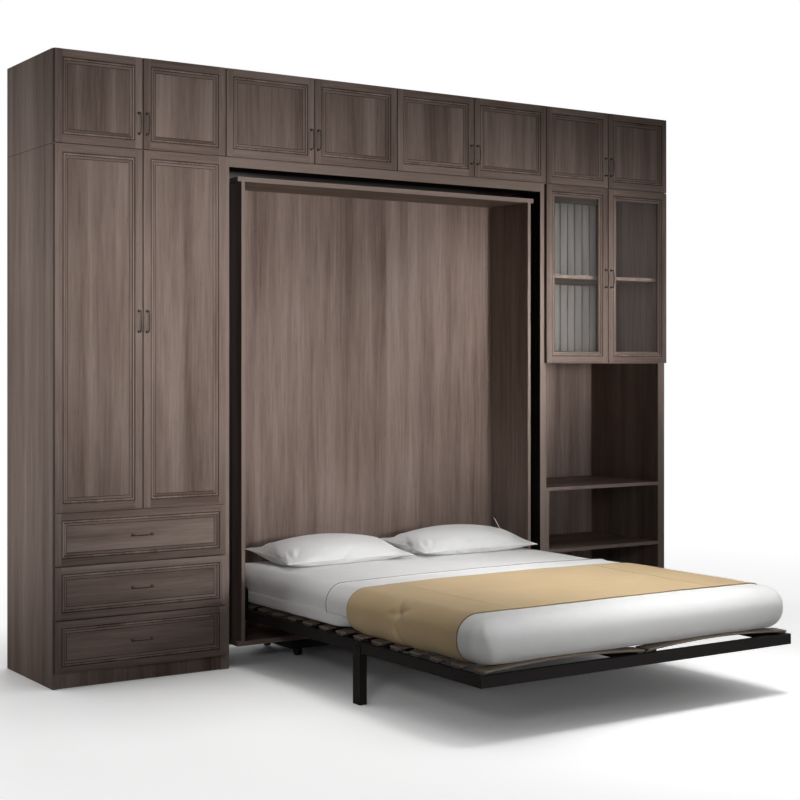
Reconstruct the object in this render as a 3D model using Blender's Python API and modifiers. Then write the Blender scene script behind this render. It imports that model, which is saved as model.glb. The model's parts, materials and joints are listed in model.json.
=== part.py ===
"""Rotating wall bed: a cabinet wall whose middle box rolls out, revolves and holds a tilting bed.

Metres, +Z up, +X to the right as seen from the room, +Y into the wall. The origin lies on the floor, on
the axis about which the middle box revolves. The bed is down and everything else is closed.
"""

import math

import bmesh
import bpy
from mathutils import Matrix, Vector

# Cabinet wall
OVERHEAD_HEIGHT = 0.400
CARCASS_DEPTH = 0.560
BOARD = 0.018
BACK_BOARD = 0.010
WARDROBE_WIDTH = 0.804
OPENING_UNIT_WIDTH = 1.840
DISPLAY_WIDTH = 0.840
PLINTH_HEIGHT = 0.063
PLINTH_SETBACK = 0.008
LINING = 0.025
HEADER = 0.042
SEAT_GAP = 0.0003

# Fronts
FRONT_THICKNESS = 0.0197
FRONT_GAP = 0.004
DRAWER_COUNT = 3
DRAWER_PITCH = 0.227
FRAME_WIDTH = 0.034
DRAWER_FRAME_WIDTH = 0.029
MOULDING_WIDTH = 0.027
PANEL_RECESS = 0.008
MOULDING_WIDTH_SHARES = (0.08, 0.17, 0.17, 0.40, 0.18)
MOULDING_DEPTH_SHARES = (0.40, -0.28, 0.20, 0.56, 0.12)
PANE_THICKNESS = 0.005

# Bow handles
HANDLE_SPAN = 0.090
HANDLE_REACH = 0.026
HANDLE_RADIUS = 0.0038
HANDLE_INSET = 0.017
HANDLE_ROOT = 0.002
HANDLE_SHOULDER_SHARE = 0.80
HANDLE_STATIONS = 5
TALL_HANDLE_RISE = 0.811
UPPER_HANDLE_RISE = 0.112
GLASS_HANDLE_RISE = 0.448

# Drawers
DRAWER_BOX_DEPTH = 0.480
DRAWER_BOX_HEIGHT = 0.150
DRAWER_BOX_WALL = 0.012
DRAWER_SIDE_GAP = 0.013
DRAWER_FLOOR_RISE = 0.034

# Wardrobe inside
RAIL_RADIUS = 0.0125
RAIL_DROP = 0.150

# Display unit
LOWER_SHELF_RISE = 0.347
NICHE_FLOOR_RISE = 0.322
NICHE_HEIGHT = 0.642
GLASS_SHELF_RISE = 0.464
GLASS_SHELF_SETBACK = 0.040
NICHE_LEFT_WALL = 0.014
LOWER_LEFT_STILE = 0.033
RIGHT_STILE = 0.046

# Revolving box
BOX_OPENING_GAP = 0.044
BOX_TOP_GAP = 0.040
BOX_OVERHANG = 0.019
BOX_SIDE_THICKNESS = 0.018
BOX_DEPTH = 0.510
BOX_BOARD = 0.022
RECESS_DEPTH = 0.305
RECESS_BACK = 0.012
REVERSE_SHELF_COUNT = 4
REVERSE_COLUMNS = 2

# Turntable, carriage and its floor guide
TURNTABLE_RADIUS = 0.230
TURNTABLE_THICKNESS = 0.018
CARRIAGE_WIDTH = 1.100
CARRIAGE_SETBACK = 0.035
CARRIAGE_DEPTH = BOX_DEPTH - 2 * CARRIAGE_SETBACK
CARRIAGE_THICKNESS = 0.030
CASTOR_RADIUS = 0.024
CASTOR_WIDTH = 0.022
CASTOR_INSET = 0.070
CASTOR_LIFT = 0.0005
CASTOR_HOUSING = 0.0031
GUIDE_WIDTH = 0.060
GUIDE_HEIGHT = 0.022
GUIDE_WALL = 0.004
GUIDE_REACH = 0.125
GUIDE_SIDE_GAP = 0.009
GUIDE_BAR_LENGTH = 0.500
GUIDE_TIE_WIDTH = 0.035

# Bed frame, its pivot plates and pins
BED_RISE = 0.093
PIVOT_SETBACK = 0.1065
PIVOT_RISE = 0.0975
BED_TOP_GAP = 0.012
FRAME_HEAD_INSET = 0.008
FRAME_FOOT_REACH = 0.004
RAIL_DEPTH = 0.043
RAIL_WIDTH = 0.025
CENTRE_RAIL_WIDTH = 0.040
CROSS_RAIL_WIDTH = 0.030
PLATE_INSET = 0.005
PLATE_THICKNESS = 0.005
PLATE_BACK_MARGIN = 0.0365
PLATE_FRONT_MARGIN = 0.040
PLATE_TOP_MARGIN = 0.026
PLATE_CORNER = 0.020
PIN_RADIUS = 0.010
PIN_CLEARANCE = 0.0004
PIN_OVERREACH = 0.003
FLANGE_RADIUS = 0.024
FLANGE_THICKNESS = 0.004

# Slats
SLAT_COUNT = 15
SLAT_WIDTH = 0.075
SLAT_THICKNESS = 0.008
SLAT_SIDE_GAP = 0.005
SLAT_CAMBER = 0.021
SLAT_ARC_STEPS = 6
HOLDER_WIDTH = 0.026
HOLDER_THICKNESS = 0.007
SLAT_END_MARGIN = 0.045

# Bedding
MATTRESS_HEAD_GAP = 0.072
MATTRESS_LENGTH = 2.000
MATTRESS_SIDE_GAP = 0.008
MATTRESS_THICKNESS = 0.161
MATTRESS_EDGE = 0.074
MATTRESS_CROWN = 0.008
EDGE_SEGMENTS = 6
CROSS_STATION_SHARES = (-0.72, -0.40, 0.0, 0.40, 0.72)
LONG_STATION_SHARES = (-0.80, -0.50, -0.15, 0.20, 0.55, 0.80)
COVER_THICKNESS = 0.003
COVER_GAP = 0.0005
COVER_LENGTH = 1.092
COVER_HEM_RISE = 0.008
LOFT_SIDE = 0.015
LOFT_FOOT = 0.005
LOFT_START = 0.070
LOFT_RUN = 0.420
RUNNER_THICKNESS = 0.004
RUNNER_WIDTH = 0.770
RUNNER_FOOT_INSET = 0.142
RUNNER_HEM_RISE = 0.005
RUNNER_FOLD = 0.003
RUNNER_FOLD_COUNT = 4
RUNNER_STATIONS = 16
PILLOW_DEPTH = 0.450
PILLOW_HEIGHT = 0.118
PILLOW_SEAM_SHARE = 0.32
PILLOW_DRAW_IN_SHARE = 0.09
PILLOW_POWER = 0.42
PILLOW_MIDDLE_GAP = 0.034
PILLOW_SIDE_GAP = 0.015
PILLOW_HEAD_GAP = 0.003
PILLOW_STEPS_LONG = 14
PILLOW_STEPS_DEEP = 10

# Folding legs of angle steel
LEG_FROM_FOOT = 0.836
LEG_RAIL_GAP = 0.0005
LEG_FLANGE = 0.034
LEG_WALL = 0.004
LEG_FOOT_LIFT = 0.0005
LEG_FLANGE_GAP = 0.0038
LEG_BOLT_RADIUS = 0.009
LEG_BOLT_HEAD = 0.003

# Gas springs, placed from the bed's pivot
STRUT_TOP_BACK = 0.1685
STRUT_TOP_RISE = 0.2585
STRUT_STUD_FORWARD = 0.0515
STRUT_STUD_RISE = 0.0235
STRUT_SIDE_GAP = 0.0015
STRUT_ROD_RADIUS = 0.004
STRUT_BARREL_RADIUS = 0.0080
STRUT_BARREL_LENGTH = 0.195
STRUT_ROD_LENGTH = 0.165
STRUT_BORE_GAP = 0.0005
STRUT_BORE_FLOOR = 0.020
STRUT_EYE_RADIUS = 0.009

# Cutting, welding and shading
OVERRUN = 0.010
WELD_DISTANCE = 0.00003
ROUND_SEGMENTS = 32
SMALL_ROUND_SEGMENTS = 16
TUBE_RESOLUTION = 2
PLATE_CORNER_SEGMENTS = 3
HARD_ANGLE = 30
HANDLE_ANGLE = 50
SOFT_ANGLE = 60

# Widths, worked out from the opening inwards
BODY_HALF = OPENING_UNIT_WIDTH / 2
CABINET_LEFT = -BODY_HALF - WARDROBE_WIDTH
CABINET_RIGHT = BODY_HALF + DISPLAY_WIDTH
OPENING_HALF = BODY_HALF - LINING
BOX_HALF = OPENING_HALF - BOX_OPENING_GAP
BOX_SIDE_HALF = BOX_HALF - BOX_OVERHANG
BOX_INNER_HALF = BOX_SIDE_HALF - BOX_SIDE_THICKNESS
STRUT_HALF_X = BOX_INNER_HALF - STRUT_SIDE_GAP - STRUT_BARREL_RADIUS
PLATE_HALF = STRUT_HALF_X - STRUT_BARREL_RADIUS - STRUT_SIDE_GAP
BED_HALF = PLATE_HALF + PLATE_INSET
PLATE_INNER_HALF = PLATE_HALF - PLATE_THICKNESS
SLAT_HALF = PLATE_INNER_HALF - SLAT_SIDE_GAP
MATTRESS_HALF = PLATE_INNER_HALF - MATTRESS_SIDE_GAP
PILLOW_LENGTH = MATTRESS_HALF - PILLOW_SIDE_GAP - PILLOW_MIDDLE_GAP / 2
PILLOW_CENTRE_X = (PILLOW_MIDDLE_GAP + PILLOW_LENGTH) / 2

# Depths, worked out from the revolving box
CARCASS_FRONT = -BOX_DEPTH / 2
CARCASS_BACK = CARCASS_FRONT + CARCASS_DEPTH
FRONT_BACK_FACE = CARCASS_FRONT - SEAT_GAP
FRONT_FACE = FRONT_BACK_FACE - FRONT_THICKNESS
INNER_BACK = CARCASS_BACK - BACK_BOARD
RECESS_FACE = CARCASS_FRONT + RECESS_DEPTH
PIVOT_Y = CARCASS_FRONT + PIVOT_SETBACK
MATTRESS_HEAD = RECESS_FACE - MATTRESS_HEAD_GAP
MATTRESS_FOOT = MATTRESS_HEAD - MATTRESS_LENGTH
BED_HEAD = MATTRESS_HEAD - FRAME_HEAD_INSET
BED_FOOT = MATTRESS_FOOT - FRAME_FOOT_REACH
COVER_HEAD = MATTRESS_FOOT + COVER_LENGTH
RUNNER_FOOT = MATTRESS_FOOT + RUNNER_FOOT_INSET
RUNNER_HEAD = RUNNER_FOOT + RUNNER_WIDTH
PILLOW_CENTRE_Y = MATTRESS_HEAD - PILLOW_HEAD_GAP - PILLOW_DEPTH / 2
LEG_Y = BED_FOOT + LEG_FROM_FOOT
LEG_WIDTH = RAIL_DEPTH + 2 * (LEG_WALL + LEG_RAIL_GAP)
STRUT_TOP_Y = PIVOT_Y + STRUT_TOP_BACK
STRUT_STUD_Y = PIVOT_Y - STRUT_STUD_FORWARD

# Heights, worked out from the castors up to the cabinet's top
DECK_BOTTOM = CASTOR_LIFT + 2 * CASTOR_RADIUS - CASTOR_HOUSING
DECK_TOP = DECK_BOTTOM + CARRIAGE_THICKNESS
BOX_BOTTOM = DECK_TOP + TURNTABLE_THICKNESS + 2 * SEAT_GAP
BOX_FLOOR = BOX_BOTTOM + BOX_BOARD
RAIL_BOTTOM = BOX_FLOOR + BED_RISE
RAIL_TOP = RAIL_BOTTOM + RAIL_DEPTH
PIVOT_Z = RAIL_BOTTOM + PIVOT_RISE
SLAT_TOP = RAIL_TOP + SEAT_GAP + HOLDER_THICKNESS + SLAT_THICKNESS / 2 + SLAT_CAMBER
MATTRESS_BOTTOM = SLAT_TOP + SEAT_GAP
MATTRESS_EDGE_TOP = MATTRESS_BOTTOM + MATTRESS_THICKNESS
MATTRESS_MIDDLE = MATTRESS_BOTTOM + MATTRESS_THICKNESS / 2
COVER_HEM = MATTRESS_BOTTOM + COVER_HEM_RISE
RUNNER_HEM = MATTRESS_BOTTOM + RUNNER_HEM_RISE
LEG_PIVOT_Z = RAIL_BOTTOM + RAIL_DEPTH / 2
STRUT_TOP_Z = PIVOT_Z + STRUT_TOP_RISE
STRUT_STUD_Z = PIVOT_Z + STRUT_STUD_RISE
BOX_CEILING = PIVOT_Z + PIVOT_Y - BED_FOOT + BED_TOP_GAP
BOX_TOP = BOX_CEILING + BOX_BOARD
SEAM_HEIGHT = BOX_TOP + BOX_TOP_GAP + HEADER
CABINET_HEIGHT = SEAM_HEIGHT + OVERHEAD_HEIGHT
DRAWERS_TOP = PLINTH_HEIGHT + DRAWER_COUNT * DRAWER_PITCH
LOWER_SHELF = PLINTH_HEIGHT + LOWER_SHELF_RISE
NICHE_FLOOR = LOWER_SHELF + NICHE_FLOOR_RISE
GLASS_DOOR_BOTTOM = NICHE_FLOOR + NICHE_HEIGHT
GLASS_SHELF = GLASS_DOOR_BOTTOM + GLASS_SHELF_RISE

WALNUT = ("grey walnut", (0.155, 0.118, 0.100), 0.50, 0.0)
WALNUT_EDGE = ("walnut edge band", (0.230, 0.185, 0.165), 0.50, 0.0)
DARK_STEEL = ("black coated steel", (0.016, 0.013, 0.013), 0.45, 0.0)
BRONZE = ("dark bronze", (0.035, 0.028, 0.025), 0.35, 1.0)
BIRCH = ("bent birch slat", (0.170, 0.120, 0.080), 0.55, 0.0)
WHITE_COTTON = ("white cotton", (0.700, 0.700, 0.700), 0.90, 0.0)
TAN_CLOTH = ("tan cloth", (0.500, 0.380, 0.230), 0.85, 0.0)
CLEAR_GLASS = ("clear glass", (0.550, 0.560, 0.560), 0.05, 0.0)
CHROME = ("polished rod", (0.600, 0.600, 0.600), 0.15, 1.0)
ZINC = ("zinc steel", (0.350, 0.350, 0.350), 0.40, 1.0)


def clear_objects():
    """Remove whatever the open file holds."""
    for obj in list(bpy.data.objects):
        bpy.data.objects.remove(obj, do_unlink=True)


def new_collection(name):
    """Make a collection under the scene's own one."""
    collection = bpy.data.collections.new(name)
    bpy.context.scene.collection.children.link(collection)
    return collection


def material_of(finish):
    """Give the Principled material of a finish, made on first use."""
    name, colour, roughness, metallic = finish
    material = bpy.data.materials.get(name)
    if material is None:
        material = bpy.data.materials.new(name)
        material.use_nodes = True
        shader = material.node_tree.nodes["Principled BSDF"]
        shader.inputs["Base Color"].default_value = (*colour, 1.0)
        shader.inputs["Roughness"].default_value = roughness
        shader.inputs["Metallic"].default_value = metallic
        material.diffuse_color = (*colour, 1.0)
    return material


def add_piece(name, mesh, finish, location, carrier=None):
    """Link a mesh as a named piece at a place in the world, carried by an empty if one is given."""
    piece = bpy.data.objects.new(name, mesh)
    PIECES.objects.link(piece)
    mesh.materials.clear()
    mesh.materials.append(material_of(finish))
    piece.location = Vector(location)
    if carrier is not None:
        piece.parent = carrier
        piece.location = Vector(location) - world_place(carrier)
    return piece


def world_place(carrier):
    """Add up the places of an empty and its parents, none of which is turned."""
    place = Vector((0, 0, 0))
    while carrier is not None:
        place += carrier.location
        carrier = carrier.parent
    return place


def add_axis(name, location, carrier=None):
    """Make an empty on a joint's axis."""
    axis = bpy.data.objects.new(name, None)
    PIECES.objects.link(axis)
    axis.location = Vector(location)
    if carrier is not None:
        axis.parent = carrier
        axis.location = Vector(location) - world_place(carrier)
    return axis


def add_helper(name, mesh, location=(0, 0, 0)):
    """Link a mesh that only cuts or joins another."""
    helper = bpy.data.objects.new(name, mesh)
    HELPERS.objects.link(helper)
    helper.location = Vector(location)
    helper.hide_render = True
    helper.display_type = "WIRE"
    return helper


def boolean(piece, helper, operation):
    """Cut a piece with a helper, or join them."""
    modifier = piece.modifiers.new(helper.name, "BOOLEAN")
    modifier.operation = operation
    modifier.object = helper


def mesh_from(name, shape):
    """Turn a bmesh into a mesh."""
    mesh = bpy.data.meshes.new(name)
    shape.to_mesh(mesh)
    shape.free()
    return mesh


def add_box(shape, low, high):
    """Add a box between two corners to a bmesh and give its vertices."""
    low = Vector(low)
    high = Vector(high)
    size = high - low
    place = Matrix.Translation((low + high) / 2) @ Matrix.Diagonal((*size, 1))
    return bmesh.ops.create_cube(shape, size=1, matrix=place)["verts"]


def add_round(shape, centre, radius, length, turn, segments=ROUND_SEGMENTS):
    """Add a closed cylinder to a bmesh, with its axis turned from +Z."""
    place = Matrix.Translation(Vector(centre)) @ turn
    bmesh.ops.create_cone(
        shape, cap_ends=True, segments=segments, radius1=radius, radius2=radius, depth=length, matrix=place
    )


ALONG_X = Matrix.Rotation(math.radians(90), 4, "Y")
ALONG_Y = Matrix.Rotation(math.radians(90), 4, "X")
UNTURNED = Matrix.Identity(4)


def boxes_mesh(name, boxes, centre):
    """Make one mesh of separate boxes, given in the world, about a centre."""
    shape = bmesh.new()
    for low, high in boxes:
        add_box(shape, Vector(low) - centre, Vector(high) - centre)
    return mesh_from(name, shape)


def board(name, low, high, finish, carrier=None, pockets=()):
    """Make a board or block between two corners, with pockets cut from it."""
    centre = (Vector(low) + Vector(high)) / 2
    piece = add_piece(name, boxes_mesh(name, [(low, high)], centre), finish, centre, carrier)
    if pockets:
        cutter = add_helper(name + ".pockets", boxes_mesh(name + ".pockets", pockets, centre), centre)
        boolean(piece, cutter, "DIFFERENCE")
    return piece


def outline_mesh(name, outlines, thickness):
    """Fill closed outlines in X and Y, and thicken them about Z."""
    curve = bpy.data.curves.new(name, "CURVE")
    curve.dimensions = "2D"
    curve.fill_mode = "BOTH"
    curve.extrude = thickness / 2
    for outline in outlines:
        spline = curve.splines.new("POLY")
        spline.points.add(len(outline) - 1)
        for point, place in zip(spline.points, outline):
            point.co = (*place, 0, 1)
        spline.use_cyclic_u = True
    return mesh_of_curve(name, curve)


def tube_mesh(name, route, radius):
    """Make a tube with closed ends along a list of places."""
    curve = bpy.data.curves.new(name, "CURVE")
    curve.dimensions = "3D"
    curve.bevel_depth = radius
    curve.bevel_resolution = TUBE_RESOLUTION
    curve.use_fill_caps = True
    spline = curve.splines.new("POLY")
    spline.points.add(len(route) - 1)
    for point, place in zip(spline.points, route):
        point.co = (*place, 1)
    return mesh_of_curve(name, curve)


def mesh_of_curve(name, curve):
    """Evaluate a curve, weld its caps and remove it."""
    guide = bpy.data.objects.new(name + ".curve", curve)
    HELPERS.objects.link(guide)
    bpy.context.view_layer.update()
    evaluated = guide.evaluated_get(bpy.context.evaluated_depsgraph_get())
    mesh = bpy.data.meshes.new_from_object(evaluated)
    bpy.data.objects.remove(guide, do_unlink=True)
    shape = bmesh.new()
    shape.from_mesh(mesh)
    bmesh.ops.remove_doubles(shape, verts=shape.verts, dist=WELD_DISTANCE)
    face_outwards(shape)
    shape.to_mesh(mesh)
    shape.free()
    mesh.name = name
    return mesh


def face_outwards(shape):
    """Point the faces of a closed shape outwards."""
    bmesh.ops.recalc_face_normals(shape, faces=shape.faces)
    if shape.calc_volume(signed=True) < 0:
        bmesh.ops.reverse_faces(shape, faces=shape.faces)


def turn_mesh(mesh, turn):
    """Turn a mesh about its origin."""
    mesh.transform(turn)
    return mesh


def shift_mesh(mesh, shift):
    """Shift a mesh from its origin."""
    mesh.transform(Matrix.Translation(shift))
    return mesh


def shade_round(piece, degrees=HARD_ANGLE):
    """Shade a round piece smooth and keep its sharp edges."""
    piece.data.shade_smooth()
    piece.data.set_sharp_from_angle(angle=math.radians(degrees))


def make_wardrobe():
    """Left unit: side panel, carcass with its partition and plinth board, and hanging rail."""
    side_inner = CABINET_LEFT + BOARD + SEAT_GAP
    top = SEAM_HEIGHT - SEAT_GAP
    right = -BODY_HALF - SEAT_GAP
    partition = right - BOARD
    board(
        "wardrobe_side_left",
        (CABINET_LEFT, CARCASS_FRONT, 0),
        (CABINET_LEFT + BOARD, CARCASS_BACK, top),
        WALNUT,
    )
    hanging = (
        (side_inner - OVERRUN, CARCASS_FRONT - OVERRUN, DRAWERS_TOP + BOARD / 2),
        (partition, INNER_BACK, top - BOARD),
    )
    drawers = (
        (side_inner - OVERRUN, CARCASS_FRONT - OVERRUN, PLINTH_HEIGHT + BOARD),
        (partition, INNER_BACK, DRAWERS_TOP - BOARD / 2),
    )
    plinth_front = CARCASS_FRONT + PLINTH_SETBACK
    below = -OVERRUN
    toe_space = (
        (side_inner - OVERRUN, plinth_front + BOARD, below),
        (partition, CARCASS_BACK + OVERRUN, PLINTH_HEIGHT),
    )
    toe_setback = (
        (side_inner - OVERRUN, CARCASS_FRONT - OVERRUN, below),
        (partition, plinth_front, PLINTH_HEIGHT),
    )
    board(
        "wardrobe_carcass",
        (side_inner, CARCASS_FRONT, 0),
        (right, CARCASS_BACK, top),
        WALNUT,
        pockets=[hanging, drawers, toe_space, toe_setback],
    )
    rail_left = side_inner
    rail_right = partition - SEAT_GAP
    shape = bmesh.new()
    add_round(shape, (0, 0, 0), RAIL_RADIUS, rail_right - rail_left, ALONG_X, SMALL_ROUND_SEGMENTS)
    rail_place = ((rail_left + rail_right) / 2, (CARCASS_FRONT + INNER_BACK) / 2, SEAM_HEIGHT - RAIL_DROP)
    rail = add_piece("hanging_rail", mesh_from("hanging_rail", shape), ZINC, rail_place)
    shade_round(rail)


def make_overhead():
    """Row of four bays above the seam, over the whole width."""
    bays = (
        (CABINET_LEFT, -BODY_HALF),
        (-BODY_HALF, 0),
        (0, BODY_HALF),
        (BODY_HALF, CABINET_RIGHT),
    )
    pockets = []
    for left, right in bays:
        low = (left + BOARD, CARCASS_FRONT - OVERRUN, SEAM_HEIGHT + BOARD)
        pockets.append((low, (right - BOARD, INNER_BACK, CABINET_HEIGHT - BOARD)))
    board(
        "overhead_carcass",
        (CABINET_LEFT, CARCASS_FRONT, SEAM_HEIGHT),
        (CABINET_RIGHT, CARCASS_BACK, CABINET_HEIGHT),
        WALNUT,
        pockets=pockets,
    )


def make_opening():
    """Lining boards and header round the revolving box."""
    top = SEAM_HEIGHT - SEAT_GAP
    for side, word in ((-1, "left"), (1, "right")):
        edges = sorted((side * OPENING_HALF, side * BODY_HALF))
        board(
            "opening_jamb_" + word,
            (edges[0], CARCASS_FRONT, 0),
            (edges[1], CARCASS_BACK, top),
            WALNUT_EDGE,
        )
    half = OPENING_HALF - SEAT_GAP
    board("opening_header", (-half, CARCASS_FRONT, top - HEADER), (half, CARCASS_BACK, top), WALNUT_EDGE)


def make_display():
    """Right unit: glazed cupboard, niche, two open compartments and the shelf behind the glass."""
    left = BODY_HALF + SEAT_GAP
    top = SEAM_HEIGHT - SEAT_GAP
    front = CARCASS_FRONT - OVERRUN
    glass_left = left + BOARD
    glass_right = CABINET_RIGHT - BOARD
    glass_floor = GLASS_DOOR_BOTTOM + BOARD
    lower_left = left + LOWER_LEFT_STILE
    lower_right = CABINET_RIGHT - RIGHT_STILE
    base = PLINTH_HEIGHT + BOARD
    pockets = [
        ((glass_left, front, glass_floor), (glass_right, INNER_BACK, top - BOARD)),
        ((left + NICHE_LEFT_WALL, front, NICHE_FLOOR), (lower_right, INNER_BACK, GLASS_DOOR_BOTTOM)),
        ((lower_left, front, LOWER_SHELF), (lower_right, INNER_BACK, NICHE_FLOOR - BOARD)),
        ((lower_left, front, base), (lower_right, INNER_BACK, LOWER_SHELF - BOARD)),
        ((lower_left, front, -OVERRUN), (lower_right, CARCASS_FRONT + PLINTH_SETBACK, PLINTH_HEIGHT)),
    ]
    board(
        "display_carcass",
        (left, CARCASS_FRONT, 0),
        (CABINET_RIGHT, CARCASS_BACK, top),
        WALNUT,
        pockets=pockets,
    )
    board(
        "display_shelf",
        (glass_left + SEAT_GAP, CARCASS_FRONT + GLASS_SHELF_SETBACK, GLASS_SHELF - BOARD),
        (glass_right - SEAT_GAP, INNER_BACK - SEAT_GAP, GLASS_SHELF),
        WALNUT,
    )


def front_mesh(name, width, height, frame_width, glazed):
    """Frame-and-panel front about its centre, its moulding let in from the room side."""
    shape = bmesh.new()
    half = Vector((width / 2, FRONT_THICKNESS / 2, height / 2))
    add_box(shape, -half, half)
    shape.faces.ensure_lookup_table()
    face = next(f for f in shape.faces if f.normal.y < 0 and abs(f.normal.y) == max(map(abs, f.normal)))
    inset = {"faces": [face], "use_even_offset": True}
    bmesh.ops.inset_region(shape, thickness=frame_width, depth=0, **inset)
    for width_share, depth_share in zip(MOULDING_WIDTH_SHARES, MOULDING_DEPTH_SHARES):
        step = MOULDING_WIDTH * width_share
        bmesh.ops.inset_region(shape, thickness=step, depth=-PANEL_RECESS * depth_share, **inset)
    if glazed:
        back = next(f for f in shape.faces if f.normal.y > 0 and abs(f.normal.y) == max(map(abs, f.normal)))
        bmesh.ops.inset_region(
            shape, faces=[back], thickness=frame_width + MOULDING_WIDTH, depth=0, use_even_offset=True
        )
        rims = list(face.edges) + list(back.edges)
        bmesh.ops.delete(shape, geom=[face, back], context="FACES_ONLY")
        bmesh.ops.bridge_loops(shape, edges=rims)
    face_outwards(shape)
    return mesh_from(name, shape)


def add_front(name, left, right, bottom, top, axis, frame_width=FRAME_WIDTH, glazed=False):
    """Place a front on its place in the wall, less half a gap all round."""
    width = right - left - FRONT_GAP
    height = top - bottom - FRONT_GAP
    mesh = front_mesh(name, width, height, frame_width, glazed)
    place = ((left + right) / 2, FRONT_FACE + FRONT_THICKNESS / 2, (bottom + top) / 2)
    return add_piece(name, mesh, WALNUT, place, axis)


def handle_mesh(name, span, sunk):
    """Bow handle along Z, rooted at Y zero and reaching to minus Y."""
    root = HANDLE_ROOT if sunk else -SEAT_GAP
    half = span / 2
    shoulder = HANDLE_REACH * HANDLE_SHOULDER_SHARE
    route = [(0, root, -half)]
    for step in range(HANDLE_STATIONS):
        share = 2 * step / (HANDLE_STATIONS - 1) - 1
        rise = shoulder + (HANDLE_REACH - shoulder) * (1 - share * share)
        route.append((0, -rise, share * half))
    route.append((0, root, half))
    return tube_mesh(name, route, HANDLE_RADIUS)


def add_hinged_front(name, left, right, bottom, top, hinge, handle_rise, handle_name, glazed=False):
    """Make a door on its hinge side, with its handle near the free edge: a piece if named, else joined."""
    pivot_x = left + FRONT_GAP / 2 if hinge == "left" else right - FRONT_GAP / 2
    free_x = right - FRONT_GAP / 2 - HANDLE_INSET if hinge == "left" else left + FRONT_GAP / 2 + HANDLE_INSET
    axis = add_axis(name + ".axis", (pivot_x, FRONT_FACE, bottom))
    door = add_front(name, left, right, bottom, top, axis, glazed=glazed)
    handle_place = (free_x, FRONT_FACE, bottom + handle_rise)
    if not handle_name:
        helper = add_helper(name + ".handle", handle_mesh(name + ".handle", HANDLE_SPAN, True), handle_place)
        boolean(door, helper, "UNION")
    else:
        mesh = handle_mesh(handle_name, HANDLE_SPAN, False)
        handle = add_piece(handle_name, mesh, BRONZE, handle_place, axis)
        shade_round(handle, HANDLE_ANGLE)
    return axis


def make_upper_doors():
    """Eight short doors, hinged in pairs at their outer edges."""
    widths = (
        [WARDROBE_WIDTH / 2] * 2 + [OPENING_UNIT_WIDTH / 4] * 4 + [DISPLAY_WIDTH / 2] * 2
    )
    left = CABINET_LEFT
    for index, width in enumerate(widths):
        hinge = "left" if index % 2 == 0 else "right"
        name = "upper_door_%d" % (index + 1)
        add_hinged_front(
            name, left, left + width, SEAM_HEIGHT, CABINET_HEIGHT, hinge, UPPER_HANDLE_RISE, ""
        )
        left += width


def make_tall_doors():
    """Two tall wardrobe doors."""
    middle = CABINET_LEFT + WARDROBE_WIDTH / 2
    spans = ((CABINET_LEFT, middle, "left"), (middle, -BODY_HALF, "right"))
    for left, right, hinge in spans:
        add_hinged_front(
            "tall_door_" + hinge,
            left,
            right,
            DRAWERS_TOP,
            SEAM_HEIGHT,
            hinge,
            TALL_HANDLE_RISE,
            "tall_handle_" + hinge,
        )


def make_glass_doors():
    """Two glazed doors with their panes."""
    middle = BODY_HALF + DISPLAY_WIDTH / 2
    spans = ((BODY_HALF, middle, "left"), (middle, CABINET_RIGHT, "right"))
    rim = FRONT_GAP / 2 + FRAME_WIDTH + MOULDING_WIDTH + SEAT_GAP
    for left, right, hinge in spans:
        axis = add_hinged_front(
            "glass_door_" + hinge,
            left,
            right,
            GLASS_DOOR_BOTTOM,
            SEAM_HEIGHT,
            hinge,
            GLASS_HANDLE_RISE,
            "glass_handle_" + hinge,
            glazed=True,
        )
        pane_front = FRONT_FACE + (FRONT_THICKNESS + PANEL_RECESS) / 2
        board(
            "glass_pane_" + hinge,
            (left + rim, pane_front, GLASS_DOOR_BOTTOM + rim),
            (right - rim, pane_front + PANE_THICKNESS, SEAM_HEIGHT - rim),
            CLEAR_GLASS,
            axis,
        )


def make_drawers():
    """Three drawers: panelled front, open box and a handle laid across."""
    left = CABINET_LEFT
    right = -BODY_HALF
    inner_left = left + BOARD + SEAT_GAP + DRAWER_SIDE_GAP
    inner_right = right - SEAT_GAP - BOARD - DRAWER_SIDE_GAP
    box_front = CARCASS_FRONT
    box_back = box_front + DRAWER_BOX_DEPTH
    for index in range(DRAWER_COUNT):
        word = str(index + 1)
        bottom = PLINTH_HEIGHT + index * DRAWER_PITCH
        axis = add_axis("drawer_%s.axis" % word, ((left + right) / 2, FRONT_FACE, bottom))
        name = "drawer_front_" + word
        add_front(name, left, right, bottom, bottom + DRAWER_PITCH, axis, DRAWER_FRAME_WIDTH)
        floor = bottom + DRAWER_FLOOR_RISE
        cavity = (
            (inner_left + DRAWER_BOX_WALL, box_front + DRAWER_BOX_WALL, floor + DRAWER_BOX_WALL),
            (inner_right - DRAWER_BOX_WALL, box_back - DRAWER_BOX_WALL, floor + DRAWER_BOX_HEIGHT + OVERRUN),
        )
        board(
            "drawer_box_" + word,
            (inner_left, box_front, floor),
            (inner_right, box_back, floor + DRAWER_BOX_HEIGHT),
            WALNUT,
            axis,
            pockets=[cavity],
        )
        mesh = turn_mesh(handle_mesh("drawer_handle_" + word, HANDLE_SPAN, False), ALONG_X)
        place = ((left + right) / 2, FRONT_FACE + PANEL_RECESS, bottom + DRAWER_PITCH / 2)
        handle = add_piece("drawer_handle_" + word, mesh, BRONZE, place, axis)
        shade_round(handle, HANDLE_ANGLE)


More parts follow.
